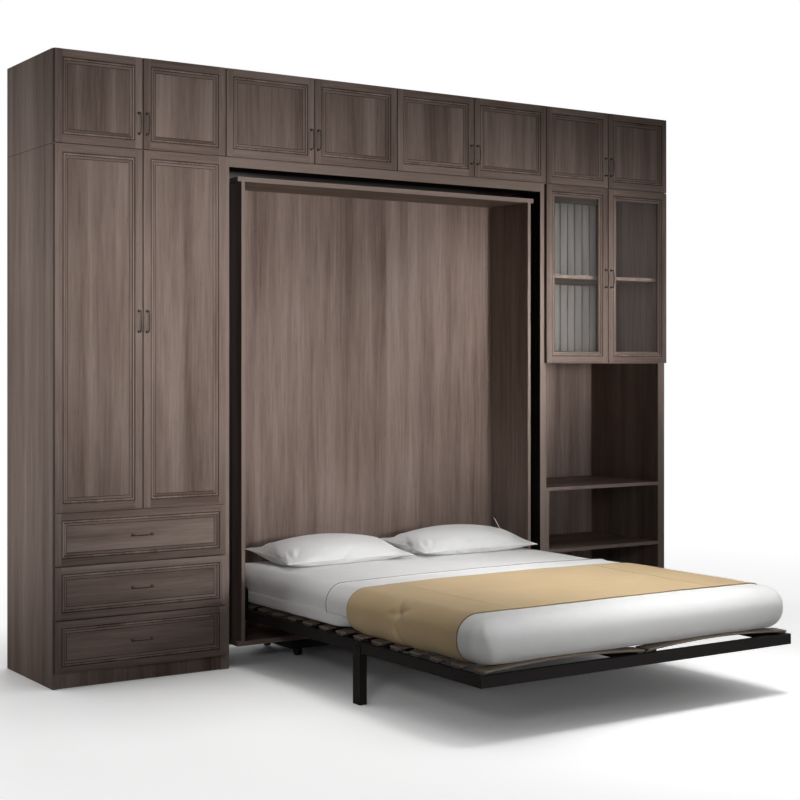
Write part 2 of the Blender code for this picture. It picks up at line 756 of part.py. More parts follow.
def make_floor_guide():
    """Channel on the floor that leads the carriage straight out, tied to both jambs at its back."""
    half = GUIDE_WIDTH / 2
    front = CARCASS_FRONT - GUIDE_REACH
    slot = (
        (-half + GUIDE_WALL, front - OVERRUN, GUIDE_WALL),
        (half - GUIDE_WALL, CARCASS_BACK + OVERRUN, GUIDE_HEIGHT + OVERRUN),
    )
    guide = board("floor_guide", (-half, front, 0), (half, CARCASS_BACK, GUIDE_HEIGHT), ZINC, pockets=[slot])
    tie_half = OPENING_HALF - SEAT_GAP
    tie = ((-tie_half, CARCASS_BACK - GUIDE_TIE_WIDTH, 0), (tie_half, CARCASS_BACK, GUIDE_WALL))
    helper = add_helper("floor_guide.tie", boxes_mesh("floor_guide.tie", [tie], Vector((0, 0, 0))))
    boolean(guide, helper, "UNION")


def make_carriage():
    """Low chassis on four castors, with the bar that runs in the floor guide."""
    axis = add_axis("carriage.axis", (0, 0, 0))
    half_width = CARRIAGE_WIDTH / 2
    half_depth = CARRIAGE_DEPTH / 2
    low = (-half_width, -half_depth, DECK_BOTTOM)
    carriage = board("carriage", low, (half_width, half_depth, DECK_TOP), DARK_STEEL, axis)
    shape = bmesh.new()
    castor_z = CASTOR_LIFT + CASTOR_RADIUS
    for x in (-half_width + CASTOR_INSET, half_width - CASTOR_INSET):
        for y in (-half_depth + CASTOR_INSET, half_depth - CASTOR_INSET):
            add_round(shape, (x, y, castor_z), CASTOR_RADIUS, CASTOR_WIDTH, ALONG_X, SMALL_ROUND_SEGMENTS)
    bar_half = GUIDE_WIDTH / 2 - GUIDE_WALL - GUIDE_SIDE_GAP
    bar_bottom = GUIDE_WALL + SEAT_GAP
    add_box(
        shape,
        (-bar_half, -GUIDE_BAR_LENGTH / 2, bar_bottom),
        (bar_half, GUIDE_BAR_LENGTH / 2, DECK_BOTTOM + OVERRUN),
    )
    boolean(carriage, add_helper("carriage.castors", mesh_from("carriage.castors", shape)), "UNION")
    return axis


def make_revolving_box(carriage_axis):
    """Turntable, the box's boards and the bookcase on its reverse."""
    axis = add_axis("carousel.axis", (0, 0, 0), carriage_axis)
    half_depth = BOX_DEPTH / 2
    shape = bmesh.new()
    add_round(shape, (0, 0, 0), TURNTABLE_RADIUS, TURNTABLE_THICKNESS, UNTURNED)
    place = (0, 0, BOX_BOTTOM - SEAT_GAP - TURNTABLE_THICKNESS / 2)
    plate = add_piece("turntable_plate", mesh_from("turntable_plate", shape), ZINC, place, axis)
    shade_round(plate)
    for name, bottom in (("carousel_bottom", BOX_BOTTOM), ("carousel_top", BOX_CEILING)):
        board(
            name,
            (-BOX_HALF, -half_depth, bottom),
            (BOX_HALF, half_depth, bottom + BOX_BOARD),
            WALNUT_EDGE,
            axis,
        )
    floor = BOX_FLOOR + SEAT_GAP
    ceiling = BOX_CEILING - SEAT_GAP
    for side, word in ((-1, "left"), (1, "right")):
        edges = sorted((side * BOX_INNER_HALF, side * BOX_SIDE_HALF))
        board(
            "carousel_side_" + word,
            (edges[0], -half_depth, floor),
            (edges[1], half_depth, ceiling),
            WALNUT_EDGE,
            axis,
        )
    inner = BOX_INNER_HALF - SEAT_GAP
    recess_back = RECESS_FACE + RECESS_BACK
    board("carousel_back_panel", (-inner, RECESS_FACE, floor), (inner, recess_back, ceiling), WALNUT, axis)
    case_front = recess_back + SEAT_GAP
    pockets = []
    column = (2 * inner - (REVERSE_COLUMNS + 1) * BOARD) / REVERSE_COLUMNS
    row = (ceiling - floor - (REVERSE_SHELF_COUNT + 1) * BOARD) / REVERSE_SHELF_COUNT
    for across in range(REVERSE_COLUMNS):
        left = -inner + BOARD + across * (column + BOARD)
        for up in range(REVERSE_SHELF_COUNT):
            bottom = floor + BOARD + up * (row + BOARD)
            low = (left, case_front - OVERRUN, bottom)
            pockets.append((low, (left + column, half_depth + OVERRUN, bottom + row)))
    board(
        "reverse_bookcase",
        (-inner, case_front, floor),
        (inner, half_depth, ceiling),
        WALNUT,
        axis,
        pockets=pockets,
    )
    make_pivots(axis)
    return axis


def make_pivots(axis):
    """Pins on flanges at the box's sides, on which the bed tilts."""
    inner = BOX_INNER_HALF - SEAT_GAP
    pin_end = PLATE_INNER_HALF - PIN_OVERREACH
    for side, word in ((-1, "left"), (1, "right")):
        shape = bmesh.new()
        flange_middle = side * (inner - FLANGE_THICKNESS / 2)
        add_round(shape, (flange_middle, 0, 0), FLANGE_RADIUS, FLANGE_THICKNESS, ALONG_X)
        flange = mesh_from("bed_pivot_" + word, shape)
        pivot = add_piece("bed_pivot_" + word, flange, ZINC, (0, PIVOT_Y, PIVOT_Z), axis)
        pin = bmesh.new()
        pin_start = inner - FLANGE_THICKNESS / 2
        add_round(pin, (side * (pin_start + pin_end) / 2, 0, 0), PIN_RADIUS, pin_start - pin_end, ALONG_X)
        name = "bed_pivot_%s.pin" % word
        boolean(pivot, add_helper(name, mesh_from(name, pin), (0, PIVOT_Y, PIVOT_Z)), "UNION")


def make_bed_frame(axis):
    """Steel frame with a centre rail and a cross rail at the legs, and a pivot plate at each side."""
    side_inner = BED_HALF - RAIL_WIDTH
    centre = CENTRE_RAIL_WIDTH / 2
    below = RAIL_BOTTOM - OVERRUN
    above = RAIL_TOP + OVERRUN
    bays = []
    for near, far in ((BED_FOOT + RAIL_WIDTH, LEG_Y - CROSS_RAIL_WIDTH), (LEG_Y, BED_HEAD - RAIL_WIDTH)):
        bays.append(((-side_inner, near, below), (-centre, far, above)))
        bays.append(((centre, near, below), (side_inner, far, above)))
    low = (-BED_HALF, BED_FOOT, RAIL_BOTTOM)
    frame = board("bed_frame", low, (BED_HALF, BED_HEAD, RAIL_TOP), DARK_STEEL, axis, pockets=bays)
    plates = bmesh.new()
    holes = bmesh.new()
    plate_front = STRUT_STUD_Y - PLATE_FRONT_MARGIN
    plate_back = PIVOT_Y + PLATE_BACK_MARGIN
    plate_top = STRUT_STUD_Z + PLATE_TOP_MARGIN
    for side in (-1, 1):
        edges = sorted((side * PLATE_INNER_HALF, side * PLATE_HALF))
        corners = add_box(
            plates, (edges[0], plate_front, RAIL_BOTTOM + RAIL_DEPTH / 2), (edges[1], plate_back, plate_top)
        )
        upper = {v for v in corners if v.co.z > RAIL_TOP}
        rims = [e for e in plates.edges if set(e.verts) <= upper]
        rims = [e for e in rims if abs(e.verts[0].co.x - e.verts[1].co.x) > 0]
        rims = [e for e in rims if abs(e.verts[0].co.y - e.verts[1].co.y) < SEAT_GAP]
        bmesh.ops.bevel(
            plates,
            geom=rims,
            offset=PLATE_CORNER,
            segments=PLATE_CORNER_SEGMENTS,
            profile=0.5,
            affect="EDGES",
            material=-1,
        )
        middle = side * (PLATE_HALF - PLATE_THICKNESS / 2)
        hole = PIN_RADIUS + PIN_CLEARANCE
        length = PLATE_THICKNESS + 2 * OVERRUN
        add_round(holes, (middle, PIVOT_Y, PIVOT_Z), hole, length, ALONG_X)
    boolean(frame, add_helper("bed_frame.plates", mesh_from("bed_frame.plates", plates)), "UNION")
    boolean(frame, add_helper("bed_frame.holes", mesh_from("bed_frame.holes", holes)), "DIFFERENCE")


def slat_outline():
    """Side view of one slat over both columns: two shallow arches that dip at the centre rail."""
    seat = SLAT_THICKNESS / 2
    column = SLAT_HALF / 2
    line = []
    for start in (-SLAT_HALF, 0):
        for step in range(SLAT_ARC_STEPS + (1 if start == 0 else 0)):
            share = step / SLAT_ARC_STEPS
            line.append((start + 2 * column * share, SLAT_CAMBER * math.sin(math.pi * share)))
    lower = [(x, z - seat) for x, z in line]
    upper = [(x, z + seat) for x, z in line]
    return lower + upper[::-1]


def make_slats(axis):
    """Arched slats over the frame, held in three strips."""
    holder_bottom = RAIL_TOP + SEAT_GAP
    holder_top = holder_bottom + HOLDER_THICKNESS
    slat_base = SLAT_TOP - SLAT_CAMBER - SLAT_THICKNESS / 2
    first = BED_FOOT + SLAT_END_MARGIN
    pitch = (BED_HEAD - SLAT_END_MARGIN - first) / (SLAT_COUNT - 1)
    shape = bmesh.new()
    slat = turn_mesh(outline_mesh("slat", [slat_outline()], SLAT_WIDTH), ALONG_Y)
    for index in range(SLAT_COUNT):
        one = slat.copy()
        one.transform(Matrix.Translation((0, first + index * pitch, slat_base)))
        shape.from_mesh(one)
        bpy.data.meshes.remove(one)
    deck = add_piece("slat_deck", mesh_from("slat_deck", shape), BIRCH, (0, 0, 0), axis)
    strips = []
    for middle in (-SLAT_HALF + HOLDER_WIDTH / 2, 0, SLAT_HALF - HOLDER_WIDTH / 2):
        low = (middle - HOLDER_WIDTH / 2, BED_FOOT + OVERRUN, holder_bottom)
        strips.append((low, (middle + HOLDER_WIDTH / 2, BED_HEAD - OVERRUN, holder_top)))
    holders = add_helper("slat_deck.holders", boxes_mesh("slat_deck.holders", strips, Vector((0, 0, 0))))
    boolean(deck, holders, "UNION")


def crown_at(x, y):
    """Rise of the mattress top over its flat edge height."""
    flat_half = MATTRESS_HALF - MATTRESS_EDGE
    flat_long = MATTRESS_LENGTH / 2 - MATTRESS_EDGE
    along = (y - (MATTRESS_HEAD + MATTRESS_FOOT) / 2) / flat_long
    across = x / flat_half
    return MATTRESS_CROWN * max(0, 1 - across * across) * max(0, 1 - along * along)


def mattress_shape(offset):
    """Rounded and crowned slab in world places, grown outwards by an offset."""
    grow = Vector((offset, offset, offset))
    low = Vector((-MATTRESS_HALF, MATTRESS_FOOT, MATTRESS_BOTTOM)) - grow
    high = Vector((MATTRESS_HALF, MATTRESS_HEAD, MATTRESS_EDGE_TOP)) + grow
    shape = bmesh.new()
    add_box(shape, low, high)
    bmesh.ops.bevel(
        shape,
        geom=shape.edges[:],
        offset=MATTRESS_EDGE + offset,
        segments=EDGE_SEGMENTS,
        profile=0.5,
        affect="EDGES",
        material=-1,
    )
    flat_half = MATTRESS_HALF - MATTRESS_EDGE
    flat_long = MATTRESS_LENGTH / 2 - MATTRESS_EDGE
    middle = (MATTRESS_HEAD + MATTRESS_FOOT) / 2
    for share in CROSS_STATION_SHARES:
        cut_shape(shape, (share * flat_half, 0, 0), (1, 0, 0))
    for share in LONG_STATION_SHARES:
        cut_shape(shape, (0, middle + share * flat_long, 0), (0, 1, 0))
    top = MATTRESS_EDGE_TOP + offset
    for vert in shape.verts:
        if vert.co.z > top - SEAT_GAP / 3:
            vert.co.z += crown_at(vert.co.x, vert.co.y)
    return shape


def cut_shape(shape, place, normal, keep_all=True):
    """Cut a shape along a plane, and drop what lies on the normal's side unless all is kept."""
    geom = shape.verts[:] + shape.edges[:] + shape.faces[:]
    bmesh.ops.bisect_plane(
        shape, geom=geom, dist=WELD_DISTANCE, plane_co=place, plane_no=normal, clear_outer=not keep_all
    )


def make_mattress(axis):
    """Mattress with a soft crown and sides rounded like a bolster."""
    mattress = add_piece("mattress", mesh_from("mattress", mattress_shape(0)), WHITE_COTTON, (0, 0, 0), axis)
    shade_round(mattress, SOFT_ANGLE)


def loft_cloth(shape):
    """Stand an open sheet off the mattress's sides and foot, more towards the foot."""
    shape.normal_update()
    start = COVER_HEAD + LOFT_START
    for vert in shape.verts:
        share = min(1, max(0, (start - vert.co.y) / LOFT_RUN))
        vert.co.x += share * LOFT_SIDE * vert.normal.x
        vert.co.y += share * LOFT_FOOT * vert.normal.y


def add_cloth(name, shape, thickness, finish, axis):
    """Give an open sheet its thickness outwards and add it."""
    bmesh.ops.recalc_face_normals(shape, faces=shape.faces)
    shape.normal_update()
    if sum(f.normal.z * f.calc_area() for f in shape.faces) < 0:
        bmesh.ops.reverse_faces(shape, faces=shape.faces)
    cloth = add_piece(name, mesh_from(name, shape), finish, (0, 0, 0), axis)
    solid = cloth.modifiers.new("Thickness", "SOLIDIFY")
    solid.thickness = thickness
    solid.offset = 1
    shade_round(cloth, SOFT_ANGLE)
    return cloth


def make_cover(axis):
    """White top cover over the mattress from its fold to the foot."""
    shape = mattress_shape(COVER_GAP)
    cut_shape(shape, (0, COVER_HEAD, 0), (0, 1, 0), keep_all=False)
    cut_shape(shape, (0, 0, COVER_HEM), (0, 0, -1), keep_all=False)
    loft_cloth(shape)
    add_cloth("top_cover", shape, COVER_THICKNESS, WHITE_COTTON, axis)


def make_runner(axis):
    """Tan runner across the foot third, with shallow folds down to its hems."""
    offset = 2 * COVER_GAP + COVER_THICKNESS
    shape = mattress_shape(offset)
    cut_shape(shape, (0, RUNNER_HEAD, 0), (0, 1, 0), keep_all=False)
    cut_shape(shape, (0, RUNNER_FOOT, 0), (0, -1, 0), keep_all=False)
    span = RUNNER_HEAD - RUNNER_FOOT
    for step in range(1, RUNNER_STATIONS):
        cut_shape(shape, (0, RUNNER_FOOT + span * step / RUNNER_STATIONS, 0), (0, 1, 0))
    cut_shape(shape, (0, 0, RUNNER_HEM), (0, 0, -1), keep_all=False)
    for vert in shape.verts:
        drop = max(0, (MATTRESS_MIDDLE - vert.co.z) / (MATTRESS_MIDDLE - RUNNER_HEM))
        phase = 2 * math.pi * RUNNER_FOLD_COUNT * (vert.co.y - RUNNER_FOOT) / span
        vert.co.x += math.copysign(drop * RUNNER_FOLD * (1 - math.cos(phase)) / 2, vert.co.x)
    loft_cloth(shape)
    add_cloth("runner", shape, RUNNER_THICKNESS, TAN_CLOTH, axis)


def pillow_mesh(name):
    """Pillow about the middle of its seam: crowned, sides drawn in between four tips."""
    shape = bmesh.new()
    bmesh.ops.create_grid(shape, x_segments=PILLOW_STEPS_LONG, y_segments=PILLOW_STEPS_DEEP, size=1)
    under = bmesh.ops.duplicate(shape, geom=shape.verts[:] + shape.edges[:] + shape.faces[:])["geom"]
    lower = {g for g in under if isinstance(g, bmesh.types.BMVert)}
    bmesh.ops.reverse_faces(shape, faces=[g for g in under if isinstance(g, bmesh.types.BMFace)])
    for vert in shape.verts:
        u = vert.co.x
        v = vert.co.y
        swell = (max(0, 1 - u * u) * max(0, 1 - v * v)) ** PILLOW_POWER
        depth = PILLOW_SEAM_SHARE if vert in lower else PILLOW_SEAM_SHARE - 1
        vert.co.x = PILLOW_LENGTH / 2 * u * (1 - PILLOW_DRAW_IN_SHARE * (1 - v * v) / 2)
        vert.co.y = PILLOW_DEPTH / 2 * v * (1 - PILLOW_DRAW_IN_SHARE * (1 - u * u))
        vert.co.z = -PILLOW_HEIGHT * depth * swell
    bmesh.ops.remove_doubles(shape, verts=shape.verts, dist=WELD_DISTANCE)
    face_outwards(shape)
    return mesh_from(name, shape)


def make_pillows(axis):
    """Two pillows on the mattress at its head."""
    seat = MATTRESS_EDGE_TOP + crown_at(PILLOW_CENTRE_X, PILLOW_CENTRE_Y) + SEAT_GAP
    seam = seat + PILLOW_HEIGHT * PILLOW_SEAM_SHARE
    for side, word in ((-1, "left"), (1, "right")):
        name = "pillow_" + word
        place = (side * PILLOW_CENTRE_X, PILLOW_CENTRE_Y, seam)
        pillow = add_piece(name, pillow_mesh(name), WHITE_COTTON, place, axis)
        shade_round(pillow, SOFT_ANGLE)


def make_legs(bed_axis):
    """Angle-steel legs hung outside the side rails, one flange under the rail."""
    axis = add_axis("legs.axis", (0, LEG_Y, LEG_PIVOT_Z), bed_axis)
    for side, word in ((-1, "left"), (1, "right")):
        wall_inner = BED_HALF + SEAT_GAP
        wall_outer = wall_inner + LEG_WALL
        shape = bmesh.new()
        edges = sorted((side * wall_inner, side * wall_outer))
        near = LEG_Y - LEG_WIDTH / 2
        far = LEG_Y + LEG_WIDTH / 2
        add_box(shape, (edges[0], near, LEG_FOOT_LIFT), (edges[1], far, LEG_PIVOT_Z))
        name = "leg_" + word
        place = Vector((0, LEG_Y, LEG_PIVOT_Z))
        leg = add_piece(name, shift_mesh(mesh_from(name, shape), -place), DARK_STEEL, place, axis)
        extra = bmesh.new()
        flange = sorted((side * (wall_outer - LEG_FLANGE), side * (wall_outer - LEG_WALL / 2)))
        flange_top = RAIL_BOTTOM - LEG_FLANGE_GAP
        add_box(extra, (flange[0], near, LEG_FOOT_LIFT), (flange[1], near + LEG_WALL, flange_top))
        helper = add_helper(name + ".flange", mesh_from(name + ".flange", extra))
        boolean(leg, helper, "UNION")
        top = bmesh.new()
        middle = side * (wall_inner + wall_outer) / 2
        add_round(top, (middle, LEG_Y, LEG_PIVOT_Z), LEG_WIDTH / 2, LEG_WALL, ALONG_X)
        boolean(leg, add_helper(name + ".round", mesh_from(name + ".round", top)), "UNION")
        bolt = bmesh.new()
        bolt_length = LEG_BOLT_HEAD + LEG_WALL / 2
        bolt_middle = side * (wall_outer + (LEG_BOLT_HEAD - LEG_WALL / 2) / 2)
        bolt_place = (bolt_middle, LEG_Y, LEG_PIVOT_Z)
        add_round(bolt, bolt_place, LEG_BOLT_RADIUS, bolt_length, ALONG_X, SMALL_ROUND_SEGMENTS)
        boolean(leg, add_helper(name + ".bolt", mesh_from(name + ".bolt", bolt)), "UNION")


def make_struts(box_axis):
    """Gas springs beside the bed: rod from the box's side, barrel down to the bed's pivot plate."""
    top = Vector((0, STRUT_TOP_Y, STRUT_TOP_Z))
    stud = Vector((0, STRUT_STUD_Y, STRUT_STUD_Z))
    turn = (top - stud).to_track_quat("Z", "Y").to_matrix().to_4x4()
    rod_axis = add_axis("strut_rods.axis", top, box_axis)
    barrel_axis = add_axis("strut_barrels.axis", stud, rod_axis)
    for side, word in ((-1, "left"), (1, "right")):
        x = side * STRUT_HALF_X
        name = "strut_rod_" + word
        boss_outer = BOX_INNER_HALF - SEAT_GAP
        boss_inner = STRUT_HALF_X - STRUT_ROD_RADIUS
        shape = bmesh.new()
        boss_middle = side * (boss_outer + boss_inner) / 2 - x
        boss_length = boss_outer - boss_inner
        add_round(shape, (boss_middle, 0, 0), STRUT_EYE_RADIUS, boss_length, ALONG_X, SMALL_ROUND_SEGMENTS)
        rod = add_piece(name, mesh_from(name, shape), CHROME, (x, STRUT_TOP_Y, STRUT_TOP_Z), rod_axis)
        bar = bmesh.new()
        middle = turn @ Vector((0, 0, -STRUT_ROD_LENGTH / 2))
        add_round(bar, middle, STRUT_ROD_RADIUS, STRUT_ROD_LENGTH, turn, SMALL_ROUND_SEGMENTS)
        boolean(rod, add_helper(name + ".bar", mesh_from(name + ".bar", bar), rod_place(x)), "UNION")
        shade_round(rod)
        name = "strut_barrel_" + word
        barrel = bmesh.new()
        middle = turn @ Vector((0, 0, STRUT_BARREL_LENGTH / 2))
        add_round(barrel, middle, STRUT_BARREL_RADIUS, STRUT_BARREL_LENGTH, turn, SMALL_ROUND_SEGMENTS)
        place = (x, STRUT_STUD_Y, STRUT_STUD_Z)
        body = add_piece(name, mesh_from(name, barrel), DARK_STEEL, place, barrel_axis)
        eye = bmesh.new()
        eye_inner = PLATE_HALF + SEAT_GAP
        eye_outer = STRUT_HALF_X + STRUT_BARREL_RADIUS / 2
        eye_middle = side * (eye_inner + eye_outer) / 2 - x
        eye_width = eye_outer - eye_inner
        add_round(eye, (eye_middle, 0, 0), STRUT_EYE_RADIUS, eye_width, ALONG_X, SMALL_ROUND_SEGMENTS)
        boolean(body, add_helper(name + ".eye", mesh_from(name + ".eye", eye), place), "UNION")
        bore = bmesh.new()
        bore_length = STRUT_BARREL_LENGTH - STRUT_BORE_FLOOR + OVERRUN
        middle = turn @ Vector((0, 0, STRUT_BORE_FLOOR + bore_length / 2))
        add_round(bore, middle, STRUT_ROD_RADIUS + STRUT_BORE_GAP, bore_length, turn, SMALL_ROUND_SEGMENTS)
        boolean(body, add_helper(name + ".bore", mesh_from(name + ".bore", bore), place), "DIFFERENCE")
        shade_round(body)


def rod_place(x):
    """Place of a gas spring's upper boss."""
    return (x, STRUT_TOP_Y, STRUT_TOP_Z)


def make_bed(box_axis):
    """The bed and all that tilts with it."""
    axis = add_axis("bed.axis", (0, PIVOT_Y, PIVOT_Z), box_axis)
    make_bed_frame(axis)
    make_slats(axis)
    make_mattress(axis)
    make_cover(axis)
    make_runner(axis)
    make_pillows(axis)
    make_legs(axis)
    make_struts(box_axis)


clear_objects()
PIECES = new_collection("Rotating wall bed")
HELPERS = new_collection("Cutters")
make_wardrobe()
make_overhead()
make_opening()
make_display()
make_upper_doors()
make_tall_doors()
make_glass_doors()
make_drawers()
make_floor_guide()
make_bed(make_revolving_box(make_carriage()))
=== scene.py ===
"""Looks of a rotating wall bed: fronts, handles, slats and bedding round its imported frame.

Metres, +Z up, +X to the right as seen from the room, +Y into the wall, as in the frame.
"""

import json
import math

import bmesh
import bpy
from bpy.props import FloatProperty, FloatVectorProperty, IntProperty, PointerProperty
from mathutils import Matrix, Vector, noise

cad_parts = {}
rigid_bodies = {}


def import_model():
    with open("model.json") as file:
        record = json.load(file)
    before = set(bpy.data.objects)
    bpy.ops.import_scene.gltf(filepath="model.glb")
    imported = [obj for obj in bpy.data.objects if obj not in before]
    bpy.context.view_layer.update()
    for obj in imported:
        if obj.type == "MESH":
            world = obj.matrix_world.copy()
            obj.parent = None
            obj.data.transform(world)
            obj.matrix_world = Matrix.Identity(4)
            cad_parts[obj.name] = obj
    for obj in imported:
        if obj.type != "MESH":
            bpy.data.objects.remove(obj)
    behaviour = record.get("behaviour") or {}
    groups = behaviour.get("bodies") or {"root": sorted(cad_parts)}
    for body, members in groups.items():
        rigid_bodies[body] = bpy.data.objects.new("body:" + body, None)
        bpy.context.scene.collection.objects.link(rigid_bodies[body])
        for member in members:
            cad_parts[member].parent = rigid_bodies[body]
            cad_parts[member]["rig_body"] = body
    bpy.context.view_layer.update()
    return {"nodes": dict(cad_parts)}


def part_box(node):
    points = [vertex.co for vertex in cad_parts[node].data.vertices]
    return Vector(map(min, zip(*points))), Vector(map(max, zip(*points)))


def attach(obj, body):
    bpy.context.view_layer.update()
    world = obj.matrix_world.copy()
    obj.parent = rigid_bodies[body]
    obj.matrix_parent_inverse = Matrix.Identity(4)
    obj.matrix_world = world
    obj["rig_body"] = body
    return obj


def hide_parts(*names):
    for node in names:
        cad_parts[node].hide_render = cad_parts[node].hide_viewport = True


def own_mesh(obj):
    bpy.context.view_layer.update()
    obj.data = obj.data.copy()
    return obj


bl_info = {
    "name": "Rotating wall bed",
    "version": (1, 0, 0),
    "blender": (4, 5, 0),
    "location": "3D View > Sidebar > Wall bed",
    "description": "Dresses the frame of a cabinet wall with a revolving, tilting bed",
    "category": "Object",
}

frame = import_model()

UPPER_FRONTS = tuple("upper_door_%d" % number for number in range(1, 9))
TALL_FRONTS = ("tall_door_left", "tall_door_right")
GLASS_FRONTS = ("glass_door_left", "glass_door_right")
DRAWER_FRONTS = tuple("drawer_front_%d" % number for number in range(1, 4))
STANDING_HANDLES = ("tall_handle_left", "tall_handle_right", "glass_handle_left", "glass_handle_right")
LYING_HANDLES = tuple("drawer_handle_%d" % number for number in range(1, 4))
UPRIGHT = "Z"
ACROSS = "X"
WHITE = (1, 1, 1)
STEPS_PER_SOFT_EDGE = 10
TUBE_SIDES = 12
HAIR = 0.0005
FACING = 0.9
MERGE_DISTANCE = 0.00001


def distance(label, text, default, low, high):
    """Setting that is a length in metres."""
    return FloatProperty(
        name=label, description=text, default=default, min=low, max=high, subtype="DISTANCE", unit="LENGTH"
    )


def paint(label, text, default):
    """Setting that is a colour."""
    return FloatVectorProperty(
        name=label, description=text, default=default, min=0, max=1, subtype="COLOR", size=3
    )


def factor(label, text, default, low, high):
    """Setting that is a plain number."""
    return FloatProperty(name=label, description=text, default=default, min=low, max=high)


class WallBedTimber(bpy.types.PropertyGroup):
    """Colours and grain of the grey walnut."""

    dark: paint("Dark streak", "Colour of the darkest grain", (0.138, 0.098, 0.081))
    middle: paint("Ground", "Colour between the streaks", (0.222, 0.166, 0.142))
    light: paint("Light streak", "Colour of the lightest grain", (0.310, 0.245, 0.213))
    band: distance("Band width", "Width of one soft band of grain", 0.052, 0.01, 0.3)
    fibre: distance("Fibre width", "Width of one streak of fibres", 0.007, 0.001, 0.05)
    stretch: factor("Grain length", "How many times longer a streak is than wide", 22, 1, 100)


class WallBedFronts(bpy.types.PropertyGroup):
    """Sizes of the framed and moulded fronts and their handles."""

    door_frame: distance("Door frame", "Width of a door's stiles and rails", 0.034, 0.01, 0.1)
    drawer_frame: distance("Drawer frame", "Width of a drawer front's frame", 0.029, 0.01, 0.1)
    moulding: distance("Moulding", "Width of the moulding round a panel", 0.027, 0.005, 0.08)
    recess: distance("Recess", "Depth of a panel behind its frame", 0.008, 0.002, 0.015)
    arris: distance("Arris", "Rounding of a front's outer edge", 0.0015, 0.0002, 0.005)
    handle_span: distance("Handle span", "Between a handle's posts", 0.090, 0.03, 0.3)
    handle_reach: distance("Handle reach", "From the front to a bow's outer side", 0.0285, 0.01, 0.06)
    bow_radius: distance("Bow radius", "Half the thickness of a bow at its middle", 0.0030, 0.001, 0.01)
    rose_radius: distance("Rose radius", "Radius of the round foot under a post", 0.0068, 0.002, 0.02)


class WallBedSlats(bpy.types.PropertyGroup):
    """Sizes of the slats and the pads under their ends."""

    count: IntProperty(name="Slats", description="Slats in each column", default=15, min=2, max=40)
    width: distance("Slat width", "Width of a slat", 0.075, 0.02, 0.12)
    thickness: distance("Slat thickness", "Thickness of a slat", 0.008, 0.003, 0.02)
    end_margin: distance("End margin", "From the frame's end to the last slat's middle", 0.045, 0.01, 0.2)
    pad_length: distance("Pad length", "Length of the pad under a slat's end", 0.034, 0.01, 0.1)


class WallBedBedding(bpy.types.PropertyGroup):
    """Sizes, fill and colours of the mattress, covers and pillows."""

    edge: distance("Mattress edge", "Rounding of the mattress's edges", 0.074, 0.01, 0.08)
    band_height: distance("Band height", "Height of the fitted sheet's lower band", 0.050, 0.01, 0.1)
    hem_width: distance("Hem width", "From the cover's head edge to its stitching", 0.012, 0.003, 0.05)
    loft_side: distance("Loft at the sides", "How far the cover stands off the sides", 0.015, 0, 0.04)
    loft_foot: distance("Loft at the foot", "How far the cover stands off the foot", 0.006, 0, 0.04)
    loft_under: distance("Loft underneath", "How far the cover's tuck hangs below", 0.010, 0, 0.04)
    loft_start: distance("Loft start", "Where along the bed the loft starts", -0.86, -2, 0)
    loft_full: distance("Loft full", "Where along the bed the loft is whole", -1.28, -2, 0)
    left_seam: distance("Left seam", "Place of the runner's left seam across the bed", -0.545, -0.7, 0)
    right_seam: distance("Right seam", "Place of the runner's right seam across the bed", 0.500, 0, 0.7)
    crown: distance("Crown", "Rise of the mattress's middle over its edges", 0.008, 0, 0.03)
    cloth: distance("Cloth pitch", "Distance between the lines of a cloth's mesh", 0.040, 0.01, 0.1)
    pillow_pressure: factor("Pillow fill", "Pressure that swells a pillow", 2.0, 0.5, 20)
    pillow_frames: IntProperty(
        name="Pillow steps", description="Steps over which a pillow swells", default=26, min=5, max=60
    )
    pillow_move: distance("Pillow cap", "Most that a point of a pillow may move", 0.085, 0.01, 0.2)
    white: paint("White", "Colour of the cotton", (0.80, 0.80, 0.795))
    tan: paint("Tan", "Colour of the runner", (0.560, 0.415, 0.240))


class WallBedStage(bpy.types.PropertyGroup):
    """Camera and light."""

    camera_place: FloatVectorProperty(
        name="Camera", description="Where the camera stands", subtype="XYZ", unit="LENGTH", size=3,
        default=(-4.0747, -6.4288, 1.3691),
    )
    yaw: FloatProperty(
        name="Yaw", description="How far the camera looks to the right of the wall", subtype="ANGLE",
        unit="ROTATION", default=math.radians(33.609),
    )
    lens: factor("Lens", "Focal length on a 36 mm wide sensor", 69.01, 10, 300)
    shift: factor("Shift", "Vertical shift of the lens", -0.0446, -1, 1)
    light: factor("Light", "How strong all the lamps are", 1.0, 0, 20)
    sky: factor("Sky", "Strength of the light from all round", 0.004, 0, 3)


class WallBedSettings(bpy.types.PropertyGroup):
    """All sizes and colours of the dressed bed."""

    timber: PointerProperty(type=WallBedTimber)
    fronts: PointerProperty(type=WallBedFronts)
    slats: PointerProperty(type=WallBedSlats)
    bedding: PointerProperty(type=WallBedBedding)
    stage: PointerProperty(type=WallBedStage)


